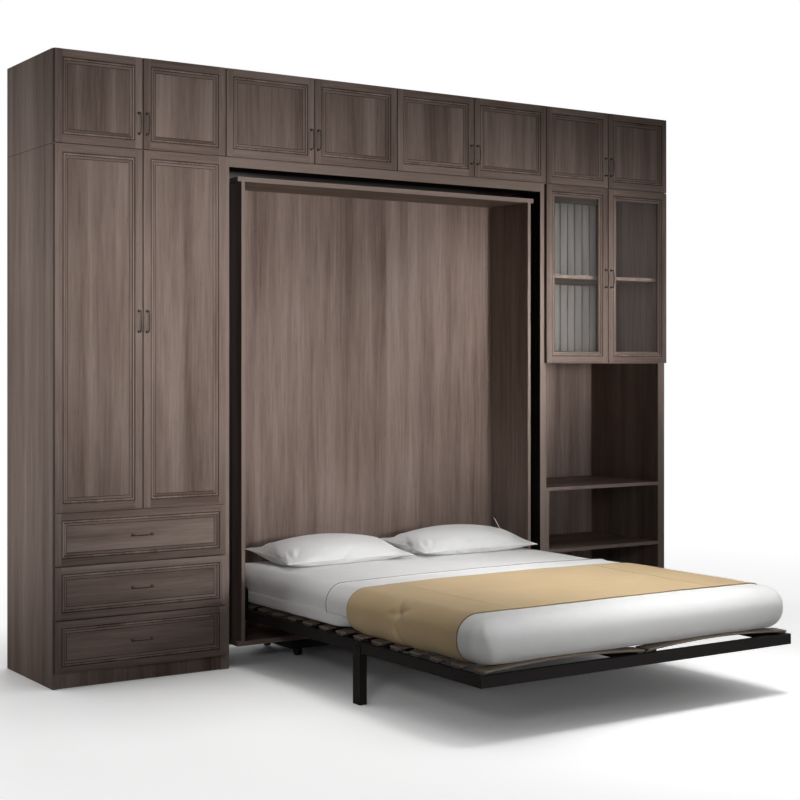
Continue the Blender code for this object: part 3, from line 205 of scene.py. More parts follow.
class Nodes:
    """A node tree, with its nodes added from left to right."""

    def __init__(self, tree):
        self.tree = tree

    def node(self, kind, inputs=None, **settings):
        """Add a node, set it, and link or set its inputs by name or number."""
        made = self.tree.nodes.new("ShaderNode" + kind)
        for name, value in settings.items():
            setattr(made, name, value)
        for key, value in (inputs or {}).items():
            self.feed(made.inputs[key], value)
        return made

    def feed(self, socket, value):
        """Link a socket to another, or set it. A colour may leave out its alpha."""
        if isinstance(value, bpy.types.NodeSocket):
            self.tree.links.new(value, socket)
        elif socket.type == "RGBA":
            socket.default_value = (*value, 1.0)
        else:
            socket.default_value = value

    def vector(self, operation, first, second):
        """Work out one vector from two."""
        return self.node("VectorMath", {0: first, 1: second}, operation=operation).outputs["Vector"]

    def number(self, operation, first, second=0.5, third=0.5):
        """Work out one number from up to three."""
        return self.node("Math", {0: first, 1: second, 2: third}, operation=operation).outputs["Value"]

    def product(self, first, *others):
        """Multiply numbers."""
        for other in others:
            first = self.number("MULTIPLY", first, other)
        return first

    def blend(self, first, second, share):
        """Add a share of one number to the rest of another."""
        return self.number("MULTIPLY_ADD", first, share, self.product(second, 1 - share))

    def grey(self, value):
        """Vector or colour whose three parts are one number."""
        return self.node("CombineXYZ", {0: value, 1: value, 2: value}).outputs[0]

    def parts(self, vector):
        """The three parts of a vector, by X, Y and Z."""
        return self.node("SeparateXYZ", {0: vector}).outputs

    def noise(self, place, scale, detail=2.0, roughness=0.5, distortion=0.0):
        """Soft noise from 0 to 1."""
        inputs = {"Vector": place, "Scale": scale, "Detail": detail, "Roughness": roughness}
        return self.node("TexNoise", {**inputs, "Distortion": distortion}).outputs["Fac"]

    def ramp(self, value, *stops):
        """Colours along a value, from pairs of place and colour."""
        made = self.node("ValToRGB", {"Fac": value})
        elements = made.color_ramp.elements
        while len(elements) < len(stops):
            elements.new(1.0)
        for element, (place, colour) in zip(elements, stops):
            element.position = place
            element.color = (*colour, 1.0)
        return made.outputs["Color"]

    def span(self, value, low, high, to_low, to_high):
        """Carry a value from one span into another."""
        inputs = {"Value": value, "From Min": low, "From Max": high, "To Min": to_low, "To Max": to_high}
        return self.node("MapRange", inputs).outputs["Result"]

    def mix(self, share, first, second, blend="MIX"):
        """Mix two colours."""
        inputs = {"Factor": share, 6: first, 7: second}
        return self.node("Mix", inputs, data_type="RGBA", blend_type=blend).outputs[2]

    def seen(self):
        """1 for the camera and for what metal and glass show, else 0."""
        path = self.node("LightPath").outputs
        direct = self.number("MAXIMUM", path["Is Camera Ray"], path["Is Glossy Ray"])
        return self.number("MAXIMUM", direct, path["Is Transmission Ray"])


class Finish(Nodes):
    """One material and its nodes."""

    def __init__(self, name):
        self.material = bpy.data.materials.new(name)
        self.material.use_nodes = True
        super().__init__(self.material.node_tree)
        self.shader = self.tree.nodes["Principled BSDF"]
        self.output = self.tree.nodes["Material Output"]

    def set(self, **values):
        """Set or link the shader's own sockets, with _ for a blank in their names."""
        for name, value in values.items():
            self.feed(self.shader.inputs[name.replace("_", " ")], value)

    def place(self):
        """The piece's own coordinates, in metres."""
        return self.node("TexCoord").outputs["Object"]

    def board(self):
        """The number that marks a face's board."""
        return self.node("Attribute", attribute_name="board", attribute_type="GEOMETRY").outputs["Fac"]

    def facing(self):
        """The three parts of the face's direction."""
        return self.parts(self.node("TexCoord").outputs["Normal"])

    def bump(self, height, strength, distance):
        """Put a relief on the shader."""
        inputs = {"Height": height, "Strength": strength, "Distance": distance}
        self.set(Normal=self.node("Bump", inputs).outputs["Normal"])

    def cover_with(self, share, shader):
        """Show another shader in place of the first by a share."""
        mixed = self.node("MixShader", {0: share, 1: self.shader.outputs[0], 2: shader.outputs[0]})
        self.feed(self.output.inputs["Surface"], mixed.outputs[0])


FINISHES = {}


def finish_of(name, maker, *arguments):
    """Give a finish's material, made on first use."""
    if name not in FINISHES:
        made = Finish(name)
        maker(made, *arguments)
        FINISHES[name] = made.material
    return FINISHES[name]


BOARD_OFFSET = (3.17, 2.71, 5.39)
GRAIN_RELIEF = 0.0005
WALNUT_SPECULAR = 0.015
BANDED_SHARE = 0.55
# Painted shade in the slot round the revolving box: its near-black colour, and where along the depth it fades
# out.
SLOT_SHADE_COLOUR = (0.020, 0.016, 0.014)
SLOT_SHADE_FADE = (-0.12, 0.10)


def grain_scale(along, stretch):
    """Scale that draws a pattern out along one axis."""
    return Vector([1 / stretch if axis == along else 1 for axis in "XYZ"])


def grey_walnut(made, along=UPRIGHT, lightness=1.0, banded_front=False, painted_slot_shade=False):
    """Open-pored grey walnut: soft bands, fibres and pores. Without a direction, the grain follows each face.

    A banded front is lighter where it faces the room. Painted slot shade paints the slot round the revolving
    box near black, as the shade that falls in it.
    """
    timber = bpy.context.scene.wall_bed.timber
    mark = made.board()
    place = made.vector("ADD", made.place(), made.vector("MULTIPLY", made.grey(mark), BOARD_OFFSET))
    if along:
        drawn = made.vector("MULTIPLY", place, grain_scale(along, timber.stretch))
    else:
        level = made.number("GREATER_THAN", made.number("ABSOLUTE", made.facing()["Z"]), 0.7)
        upright = made.vector("MULTIPLY", place, grain_scale(UPRIGHT, timber.stretch))
        lying = made.vector("MULTIPLY", place, grain_scale(ACROSS, timber.stretch))
        drawn = made.node("Mix", {"Factor": level, 4: upright, 5: lying}, data_type="VECTOR").outputs[1]
    bands = made.noise(drawn, 0.55 / timber.band, 2.0, 0.5, 0.35)
    fibres = made.noise(drawn, 0.6 / timber.fibre, 5.0, 0.62, 0.15)
    pores = made.noise(drawn, 2.6 / timber.fibre, 3.0, 0.7)
    cloud = made.number("SUBTRACT", made.noise(place, 1.4, 1.0), 0.5)
    soft = made.number("MULTIPLY_ADD", cloud, 0.22, made.blend(bands, fibres, 0.62))
    colour = made.ramp(soft, (0.33, timber.dark), (0.50, timber.middle), (0.68, timber.light))
    dashes = made.span(pores, 0.30, 0.42, 0.72, 1.0)
    colour = made.mix(1.0, colour, made.grey(dashes), "MULTIPLY")
    tone = made.node("TexWhiteNoise", {"W": mark}, noise_dimensions="1D").outputs["Value"]
    tone = made.span(tone, 0.0, 1.0, 0.95 * lightness, 1.05 * lightness)
    colour = made.mix(1.0, colour, made.grey(tone), "MULTIPLY")
    specular = WALNUT_SPECULAR
    if banded_front:
        side = made.facing()["Y"]
        depth = made.parts(made.place())["Y"]
        room_side = made.number("LESS_THAN", side, -FACING)
        near = made.number("LESS_THAN", depth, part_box("opening_header")[0].y + HAIR)
        banded = made.mix(BANDED_SHARE, colour, timber.light)
        colour = made.mix(made.product(room_side, near), colour, banded)
    # Painted shade: in the slot, faces that do not face the room turn near black and lose their shine.
    if painted_slot_shade:
        inside = made.product(slot_shade_share(made), made.number("GREATER_THAN", side, -FACING))
        colour = made.mix(inside, colour, SLOT_SHADE_COLOUR)
        specular = made.number("MULTIPLY_ADD", inside, -specular, specular)
    made.set(Base_Color=colour, Specular_IOR_Level=specular)
    made.set(Roughness=made.span(fibres, 0.3, 0.7, 0.40, 0.56))
    relief = made.number("MULTIPLY_ADD", dashes, 0.7, made.product(fibres, 0.5))
    made.bump(relief, 0.35, GRAIN_RELIEF)


def slot_shade_share(made):
    """Share of painted shade: 1 at the front of the slot round the revolving box, fading out further in, and
    0 elsewhere.
    """
    spot = made.parts(made.place())
    across = made.number("ABSOLUTE", spot["X"])
    beside = made.number("GREATER_THAN", across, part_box("carousel_side_right")[1].x + 2 * HAIR)
    above = made.number("GREATER_THAN", spot["Z"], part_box("carousel_top")[1].z + 2 * HAIR)
    within = made.number("LESS_THAN", across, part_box("opening_jamb_right")[0].x + 2 * HAIR)
    below = made.number("LESS_THAN", spot["Z"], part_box("overhead_carcass")[0].z + 2 * HAIR)
    front = made.span(spot["Y"], *SLOT_SHADE_FADE, 1.0, 0.0)
    return made.product(made.number("MAXIMUM", beside, above), within, below, front)


def walnut(along=UPRIGHT):
    """Walnut with its grain along one axis."""
    return finish_of("walnut_grain_" + along, grey_walnut, along)


# A plain finish has a tone, which gives its colour, and a grain, which gives its relief.
# Each is a kind of pattern, its scale, detail and roughness, and its stretch if it has one.
# The roughness follows one of them, and the relief has a strength and a depth.
PLAIN_FINISHES = {
    "grey_lining": {
        "tone": ("noise", 18, 4.0, 0.5, (1, 1, 0.12)),
        "colours": ((0.30, (0.245, 0.232, 0.226)), (0.70, (0.335, 0.318, 0.310))),
        "grain": ("noise", 600, 2.0, 0.5, None),
        "roughness": ("grain", 0.45, 0.62),
        "relief": (0.15, 0.0002),
    },
    "black_powder_coat": {
        "tone": ("noise", 9, 5.0, 0.65, None),
        "colours": ((0.55, (0.011, 0.009, 0.0085)), (0.80, (0.01639, 0.01341, 0.012665))),
        "grain": ("noise", 900, 3.0, 0.6, None),
        "roughness": ("tone", 0.42, 0.60),
        "relief": (0.25, 0.0003),
        "specular": 0.10,
    },
    "dark_bronze": {
        "tone": ("noise", 160, 4.0, 0.6, None),
        "colours": ((0.35, (0.022, 0.018, 0.016)), (0.75, (0.095, 0.075, 0.062))),
        "grain": ("noise", 900, 2.0, 0.5, (1, 1, 0.1)),
        "roughness": ("grain", 0.26, 0.42),
        "relief": (0.15, 0.0001),
        "metal": 0.9,
    },
    "zinc_plate": {
        "tone": ("spangle", 60, 0.0, 0.5, None),
        "colours": ((0.0, (0.33, 0.335, 0.34)), (1.0, (0.43, 0.435, 0.44))),
        "grain": ("noise", 700, 3.0, 0.5, (0.05, 1, 1)),
        "roughness": ("grain", 0.30, 0.46),
        "relief": (0.15, 0.0002),
        "metal": 1.0,
    },
    "polished_rod": {
        "tone": ("noise", 1500, 2.0, 0.5, None),
        "colours": ((0.3, (0.58, 0.58, 0.59)), (0.7, (0.68, 0.68, 0.69))),
        "roughness": ("tone", 0.10, 0.18),
        "metal": 1.0,
    },
    "black_plastic": {
        "tone": ("noise", 25, 2.0, 0.5, None),
        "colours": ((0.3, (0.014, 0.013, 0.013)), (0.7, (0.022, 0.021, 0.020))),
        "grain": ("pebble", 1400, 0.0, 0.5, None),
        "roughness": ("tone", 0.45, 0.60),
        "relief": (0.20, 0.0002),
    },
}


def pattern(made, kind, scale, detail, roughness, stretch):
    """One pattern of a plain finish: soft noise, flat spangles or round pebbles."""
    place = made.vector("MULTIPLY", made.place(), stretch) if stretch else made.place()
    if kind == "noise":
        return made.noise(place, scale, detail, roughness)
    cells = made.node("TexVoronoi", {"Vector": place, "Scale": float(scale)}).outputs
    return made.parts(cells["Color"])[0] if kind == "spangle" else cells["Distance"]


def plain_finish(made, layout):
    """Metal, plastic, coating or board from its layout in the table."""
    patterns = {name: pattern(made, *layout[name]) for name in ("tone", "grain") if name in layout}
    source, low, high = layout["roughness"]
    made.set(
        Base_Color=made.ramp(patterns["tone"], *layout["colours"]),
        Roughness=made.span(patterns[source], 0.3, 0.7, low, high),
        Metallic=layout.get("metal", 0.0),
        Specular_IOR_Level=layout.get("specular", 0.5),
    )
    if "relief" in layout:
        made.bump(patterns["grain"], *layout["relief"])


def plain(name):
    """A finish of the table."""
    return finish_of(name, plain_finish, PLAIN_FINISHES[name])


THREAD_SCALE = 700
LINEN_RELIEF = 0.0003
SLAT_RELIEF = 0.0004
CLOTH_RELIEF = 0.0004


def pale_board(made):
    """Pale matt drawer board with a faint linen print."""
    place = made.place()
    threads, cross = [
        made.noise(made.vector("MULTIPLY", place, stretch), THREAD_SCALE)
        for stretch in ((1, 0.05, 1), (0.05, 1, 0.05))
    ]
    weave = made.blend(threads, cross, 0.5)
    made.set(
        Base_Color=made.ramp(weave, (0.35, (0.27, 0.235, 0.205)), (0.65, (0.33, 0.29, 0.26))),
        Roughness=made.span(weave, 0.3, 0.7, 0.55, 0.7),
    )
    made.bump(weave, 0.2, LINEN_RELIEF)


def bent_wood(made):
    """Bentwood slat: brown veneer with lengthwise grain."""
    place = made.vector("ADD", made.place(), made.grey(made.board()))
    drawn = made.vector("MULTIPLY", place, (0.05, 1, 1))
    grain = made.noise(drawn, 130, 5.0, 0.6, 0.3)
    soft = made.blend(grain, made.noise(drawn, 22), 0.5)
    stops = ((0.32, (0.085, 0.062, 0.044)), (0.52, (0.140, 0.107, 0.078)), (0.70, (0.205, 0.163, 0.122)))
    made.set(Base_Color=made.ramp(soft, *stops), Roughness=made.span(grain, 0.3, 0.7, 0.48, 0.64))
    made.bump(grain, 0.3, SLAT_RELIEF)


def woven_cloth(made, colour, pitch, fuzz, relief):
    """Plain weave on the piece's own unfolded map: crossed threads, slubs and a soft sheen."""
    flat = made.node("UVMap", uv_map="cloth").outputs["UV"]
    inputs = {"Vector": flat, "Scale": 0.31416 / pitch, "Distortion": 0.6, "Detail": 1.0}
    warp, weft = [made.node("TexWave", inputs, bands_direction=way).outputs["Fac"] for way in "XY"]
    slubs = [
        made.noise(made.vector("MULTIPLY", flat, stretch), 260, 3.0, 0.6)
        for stretch in ((1, 0.08, 1), (0.08, 1, 1))
    ]
    threads = made.blend(slubs[0], slubs[1], 0.5)
    shade = made.blend(threads, made.noise(flat, 5.5, 3.0, 0.55), 0.5)
    low = tuple(value * (1 - fuzz) for value in colour)
    high = tuple(min(0.9, value * (1 + fuzz)) for value in colour)
    made.set(
        Base_Color=made.ramp(shade, (0.35, low), (0.65, high)),
        Roughness=made.span(threads, 0.3, 0.7, 0.78, 0.92),
        Sheen_Weight=0.08,
        Sheen_Roughness=0.5,
        Specular_IOR_Level=0.1,
    )
    weave = made.product(warp, weft)
    made.bump(made.number("MULTIPLY_ADD", weave, 0.5, threads), relief, CLOTH_RELIEF)


def clear_glass(made):
    """Clear float glass with a faint haze. Light passes it without casting a black shadow."""
    haze = made.noise(made.place(), 3.0, 3.0, 0.6)
    made.set(
        Roughness=made.span(haze, 0.4, 0.8, 0.0, 0.012),
        Base_Color=(0.96, 0.95, 0.94),
        Transmission_Weight=1.0,
        IOR=1.2,
    )
    through = made.node("BsdfTransparent", {"Color": (0.88, 0.88, 0.87)})
    made.cover_with(made.node("LightPath").outputs["Is Shadow Ray"], through)


def add_object(name, data):
    """Put a new object into the scene."""
    made = bpy.data.objects.new(name, data)
    bpy.context.scene.collection.objects.link(made)
    return made


def mesh_object(name, shape, finishes=()):
    """Turn a bmesh into an object with some finishes."""
    mesh = bpy.data.meshes.new(name)
    shape.to_mesh(mesh)
    for finish in finishes:
        mesh.materials.append(finish)
    return add_object(name, mesh)


def add_piece(name, shape, body, finishes, replaces=(), degrees=40):
    """Turn a bmesh into a piece that rides on a body."""
    piece = mesh_object(name, shape, finishes)
    shape.free()
    piece.data.shade_smooth()
    piece.data.set_sharp_from_angle(angle=math.radians(degrees))
    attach(piece, body)
    if replaces:
        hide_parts(*replaces)
    return piece


def body_of(node):
    """Name of the body that carries a CAD node."""
    return frame["nodes"][node]["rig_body"]


def round_edges(shape, edges, offset, segments=2):
    """Round some edges."""
    return bmesh.ops.bevel(
        shape, geom=edges, offset=offset, segments=segments, profile=0.5, affect="EDGES", material=-1
    )


def add_block(shape, low, high, rounding=0.0, segments=2):
    """Add a box between two corners, its edges rounded, and give its vertices."""
    low = Vector(low)
    high = Vector(high)
    place = Matrix.Translation((low + high) / 2) @ Matrix.Diagonal((*(high - low), 1))
    corners = bmesh.ops.create_cube(shape, size=1, matrix=place)["verts"]
    if not rounding:
        return corners
    edges = list({edge for corner in corners for edge in corner.link_edges})
    made = round_edges(shape, edges, rounding, segments)
    return list({v for f in made["faces"] for v in f.verts})


def cut_planes(shape, axis, places):
    """Cut a shape along planes across an axis."""
    normal = Vector([1 if index == axis else 0 for index in range(3)])
    for place in places:
        geom = shape.verts[:] + shape.edges[:] + shape.faces[:]
        bmesh.ops.bisect_plane(
            shape, geom=geom, dist=MERGE_DISTANCE, plane_co=normal * place, plane_no=normal
        )


def even_cuts(low, high, pitch):
    """Places of even cuts between two ends."""
    count = max(1, round((high - low) / pitch))
    return [low + (high - low) * step / count for step in range(1, count)]


def turned_to(heading, side):
    """Matrix whose Z runs along a heading and whose X stays as near to a side as it can."""
    forward = heading.normalized()
    across = (side - forward * side.dot(forward)).normalized()
    up = forward.cross(across)
    return Matrix((across, up, forward)).transposed().to_4x4()


def add_tube(shape, route, radii, side, closed=False, sides=TUBE_SIDES):
    """Add a tube along a route, with a radius for each station: closed to a ring, or with flat ends."""
    points = [Vector(point) for point in route]
    count = len(points)
    ring = bmesh.ops.create_circle(shape, cap_ends=False, segments=sides, radius=1)["verts"]
    edges = list({edge for vert in ring for edge in vert.link_edges})
    first_edges = edges
    previous = None
    for index, point in enumerate(points):
        if closed:
            heading = points[(index + 1) % count] - points[index - 1]
        else:
            heading = points[min(count - 1, index + 1)] - points[max(0, index - 1)]
        if previous:
            made = bmesh.ops.extrude_edge_only(shape, edges=edges)["geom"]
            ring = [g for g in made if isinstance(g, bmesh.types.BMVert)]
            edges = [g for g in made if isinstance(g, bmesh.types.BMEdge)]
            bmesh.ops.transform(shape, matrix=previous.inverted(), verts=ring)
        size = Matrix.Diagonal((radii[index], radii[index], 1, 1))
        previous = Matrix.Translation(point) @ turned_to(heading, side) @ size
        bmesh.ops.transform(shape, matrix=previous, verts=ring)
    if closed:
        bmesh.ops.bridge_loops(shape, edges=first_edges + edges)
    else:
        bmesh.ops.contextual_create(shape, geom=first_edges)
        bmesh.ops.contextual_create(shape, geom=edges)


def face_outwards(shape):
    """Point the faces of a closed shape outwards."""
    bmesh.ops.recalc_face_normals(shape, faces=shape.faces)
    if shape.calc_volume(signed=True) < 0:
        bmesh.ops.reverse_faces(shape, faces=shape.faces)


# Shares of the moulding's width and depth from a frame's inner edge to its panel: quirk, bead and ogee.
MOULDING_SHARES = (
    (0.0, 0.0), (0.03, 0.34), (0.16, 0.40), (0.20, 0.34), (0.23, 0.16), (0.29, 0.08), (0.36, 0.08),
    (0.42, 0.16), (0.46, 0.30), (0.54, 0.42), (0.64, 0.58), (0.76, 0.80), (0.88, 0.94), (1.0, 1.0),
)
# Quirks get painted shade and beads a painted highlight; the lightnesses set how dark and how light.
QUIRK_SHARES = ((0.0, 0.19), (0.42, 0.53), (0.93, 1.0))
BEAD_SHARES = (0.21, 0.42)
QUIRK_SHADE_LIGHTNESS = 0.42
BEAD_HIGHLIGHT_LIGHTNESS = 1.30
EDGE_SHARE = 0.6
PANEL_REACH = 0.02


def shaded_quirk_walnut():
    """Walnut darkened with painted shade, as in a groove or gap."""
    return finish_of("walnut_quirk_shade", grey_walnut, UPRIGHT, QUIRK_SHADE_LIGHTNESS)


def front_shape(low, high, frame_width, number, panel_finish, glazed=False):
    """Framed and moulded front between two corners.

    Finish 0 has upright grain and finish 1 grain across. Finish 2, darkened with painted shade, is for quirks
    and outer edges, and 3, lightened with a painted highlight, for beads.
    """
    fronts = bpy.context.scene.wall_bed.fronts
    shape = bmesh.new()
    mark = shape.faces.layers.float.new("board")
    add_block(shape, low, high, fronts.arris)
    cut_planes(shape, 0, (low.x + frame_width, high.x - frame_width))
    cut_planes(shape, 2, (low.z + frame_width, high.z - frame_width))
    middle = (low + high) / 2
    near = [f for f in shape.faces if (f.calc_center_median() - middle).xz.length < PANEL_REACH]
    panel = min(near, key=lambda f: f.calc_center_median().y)
    back = max(near, key=lambda f: f.calc_center_median().y)
    for (x0, z0), (x1, z1) in zip(MOULDING_SHARES, MOULDING_SHARES[1:]):
        bmesh.ops.inset_region(
            shape, faces=[panel], thickness=fronts.moulding * (x1 - x0), depth=-fronts.recess * (z1 - z0),
            use_even_offset=True,
        )
    rim = frame_width + fronts.moulding
    if glazed:
        bmesh.ops.inset_region(shape, faces=[back], thickness=fronts.moulding, depth=0, use_even_offset=True)
        rims = list(panel.edges) + list(back.edges)
        bmesh.ops.delete(shape, geom=[panel, back], context="FACES_ONLY")
        bmesh.ops.bridge_loops(shape, edges=rims)
    for face in shape.faces:
        place = face.calc_center_median()
        to_side = min(place.x - low.x, high.x - place.x)
        to_end = min(place.z - low.z, high.z - place.z)
        left = place.x < low.x + rim
        top = place.z > high.z - rim
        if min(to_side, to_end) >= rim or face.normal.y > FACING:
            face.material_index = panel_finish
            face[mark] = number
        elif to_end < rim <= to_side:
            face.material_index = 1
            face[mark] = number + (0.1 if top else 0.2)
        else:
            face.material_index = 0
            face[mark] = number + (0.3 if left else 0.4)
        share = (min(to_side, to_end) - frame_width) / fronts.moulding
        # Quirks get painted shade.
        if face.normal.y < 0.5 and any(start < share < end for start, end in QUIRK_SHARES):
            face.material_index = 2
        # Beads get a painted highlight.
        elif face.normal.y < 0.5 and BEAD_SHARES[0] < share < BEAD_SHARES[1]:
            face.material_index = 3
        # The outer edges get painted shade, as in the gaps between fronts.
        if min(to_side, to_end) < EDGE_SHARE * fronts.arris:
            face.material_index = 2
    face_outwards(shape)
    return shape


ROSE_HEIGHT = 0.003
ROSE_LIFT = 0.0013
ROSE_ROUNDING = 0.0006
ROSE_TOP_SHARE = 0.72
ROSE_SIDES = 20
FOOT_LIFT = 0.001
FOOT_RADIUS = 0.0036
NECK_RADIUS = 0.0022
BOW_STEPS = 12
BOW_SHARE = 0.95
LIFT_SHARE = 0.80
# Stations of a post: share of the half span, share of the lift, and radius.
POST_STATIONS = ((1, 0.30, 0.0026), (1, 0.55, 0.0028), (0.995, 0.84, 0.0031), (BOW_SHARE, 0.99, 0.0028))


def add_bow(shape, middle, along, out):
    """Add a bow handle: two roses, necked posts and a bow that swells to its middle."""
    fronts = bpy.context.scene.wall_bed.fronts
    half = fronts.handle_span / 2
    reach = fronts.handle_reach - fronts.bow_radius
    lift = LIFT_SHARE * reach
    turn = out.to_track_quat("Z", "Y").to_matrix().to_4x4()
    for side in (-1, 1):
        foot = middle + along * half * side
        made = bmesh.ops.create_cone(
            shape, cap_ends=True, segments=ROSE_SIDES, radius1=fronts.rose_radius,
            radius2=fronts.rose_radius * ROSE_TOP_SHARE, depth=ROSE_HEIGHT,
            matrix=Matrix.Translation(foot + out * ROSE_LIFT) @ turn,
        )["verts"]
        rims = {e for v in made for e in v.link_edges if (e.verts[0].co - foot).dot(out) > ROSE_LIFT / 2}
        round_edges(shape, list(rims), ROSE_ROUNDING)
    stations = [(-1, FOOT_LIFT, FOOT_RADIUS)]
    stations += [(-share, lift * up, radius) for share, up, radius in POST_STATIONS]
    for step in range(1, BOW_STEPS):
        share = BOW_SHARE * (2 * step / BOW_STEPS - 1)
        rise = lift + (reach - lift) * (1 - (share / BOW_SHARE) ** 2)
        stations.append((share, rise, NECK_RADIUS + (fronts.bow_radius - NECK_RADIUS) * (1 - share * share)))
    stations += [(share, lift * up, radius) for share, up, radius in reversed(POST_STATIONS)]
    stations.append((1, FOOT_LIFT, FOOT_RADIUS))
    route = [middle + along * half * share + out * rise for share, rise, radius in stations]
    add_tube(shape, route, [radius for share, rise, radius in stations], along.cross(out))


# Lamps: name, place, what they point at, size, spread in degrees and power.
STAGE_LAMPS = (
    ("front", (1.5, -5.6, 2.4), (-0.2, -0.4, 1.1), (2.4, 2.0), 180, 16),
    ("low_front", (0.9, -6.4, 1.0), (-0.3, -0.3, 1.2), (2.4, 1.2), 180, 22),
    ("middle", (1.2, -6.2, 1.6), (-0.4, -0.2, 1.35), (1.2, 1.0), 34, 8.8),
    ("left", (-2.1, -6.0, 1.9), (-1.48, -0.2, 1.76), (1.0, 1.0), 26, 4.2),
    ("right", (1.5, -6.0, 1.6), (1.10, -0.2, 1.60), (0.8, 0.8), 18, 3.7),
    ("over_foot", (0.5, -2.3, 3.8), (0.35, -1.95, 0.4), (1.0, 1.0), 44, 8.0),
    ("over_head", (0.0, -1.15, 3.7), (0.0, -0.80, 0.4), (1.0, 1.0), 42, 4.2),
    ("bed_side", (-3.2, -3.9, 1.7), (-0.8, -1.3, 0.36), (0.8, 0.4), 36, 1.35),
    ("side", (-3.3, 0.5, 1.4), (-1.72, 0.0, 1.40), (0.6, 2.4), 64, 4.8),
    ("right_side", (4.3, -0.7, 1.5), (1.76, 0.15, 1.35), (0.6, 2.2), 30, 1.6),
    ("back", (1.4, 6.4, 2.4), (0.0, 0.3, 1.1), (2.4, 2.0), 120, 40),
)
FLOOR_REACH = 30
SENSOR_MM = 36
CLIP_END = 100
SHADE_REACH = 1.1
FLOOR_FADE = (2.6, 4.6)
FLOOR_GLOW = 0.78
FLOOR_BOUNCE = (0.22, 0.21, 0.20)


class WALLBED_OT_stage(bpy.types.Operator):
    """Make the camera, the floor, the lights and the white surroundings"""

    bl_idname = "wallbed.stage"
    bl_label = "Camera, floor and light"

    def execute(self, context):
        stage = context.scene.wall_bed.stage
        data = bpy.data.cameras.new("camera")
        data.lens = stage.lens
        data.sensor_width = SENSOR_MM
        data.shift_y = stage.shift
        data.clip_end = CLIP_END
        camera = add_object("camera", data)
        camera.location = stage.camera_place
        camera.rotation_euler = (math.radians(90), 0, -stage.yaw)
        context.scene.camera = camera
        self.add_floor()
        self.add_world(context.scene, stage.sky)
        for lamp in STAGE_LAMPS:
            self.add_lamp(stage.light, *lamp)
        return {"FINISHED"}

    def add_lamp(self, light, name, place, aim, size, spread, power):
        """Add a soft rectangular lamp whose light spreads over some degrees."""
        data = bpy.data.lights.new(name, "AREA")
        data.shape = "RECTANGLE"
        data.size, data.size_y = size
        data.spread = math.radians(spread)
        data.energy = light * power
        lamp = add_object(name, data)
        lamp.location = place
        lamp.rotation_euler = (Vector(aim) - Vector(place)).to_track_quat("-Z", "Y").to_euler()
        lamp.visible_camera = False

    def add_floor(self):
        """Pale floor that shows the object's shadow near the bed and turns white further off."""
        shape = bmesh.new()
        place = Matrix.Translation((0, 0, -HAIR))
        bmesh.ops.create_grid(shape, x_segments=1, y_segments=1, size=FLOOR_REACH, matrix=place)
        floor = mesh_object("floor", shape, (finish_of("pale_floor", self.floor_finish),))
        shape.free()

    def floor_finish(self, made):
        """White paint that the camera sees glow, less in the shade, and that throws little light back.

        Further off it is plain white light for the camera, metal and glass.
        """
        place = made.place()
        pale = made.ramp(made.noise(place, 40, 3.0), (0.3, (0.84, 0.84, 0.84)), (0.7, (0.86, 0.86, 0.86)))
        path = made.node("LightPath").outputs
        # Painted shade: ambient occlusion dims the glow under and near the object, as its shadow.
        open_sky = made.node("AmbientOcclusion", {"Distance": SHADE_REACH}, samples=8).outputs["AO"]
        open_sky = made.number("POWER", open_sky, 1.6)
        made.set(
            Base_Color=made.mix(path["Is Diffuse Ray"], pale, FLOOR_BOUNCE),
            Roughness=0.7,
            Specular_IOR_Level=0.1,
            Emission_Color=WHITE,
            Emission_Strength=made.product(path["Is Camera Ray"], FLOOR_GLOW, open_sky),
        )
        distance = made.node("VectorMath", {0: place}, operation="LENGTH").outputs["Value"]
        far = made.span(distance, *FLOOR_FADE, 0.0, 1.0)
        white = made.node("Emission", {"Color": WHITE, "Strength": 1.0})
        made.cover_with(made.product(far, made.seen()), white)

    def add_world(self, scene, sky):
        """Faint even light from all round, seen as plain white."""
        world = bpy.data.worlds.new("surroundings")
        world.use_nodes = True
        world.node_tree.nodes.clear()
        made = Nodes(world.node_tree)
        faint, white = [
            made.node("Background", {"Color": WHITE, "Strength": strength}).outputs[0]
            for strength in (sky, 1.0)
        ]
        mixed = made.node("MixShader", {0: made.seen(), 1: faint, 2: white}).outputs[0]
        made.node("OutputWorld", {"Surface": mixed})
        scene.world = world
        scene.view_settings.view_transform = "Standard"


JOINT_PROUD = 0.0003
JOINT_HALF = 0.0014


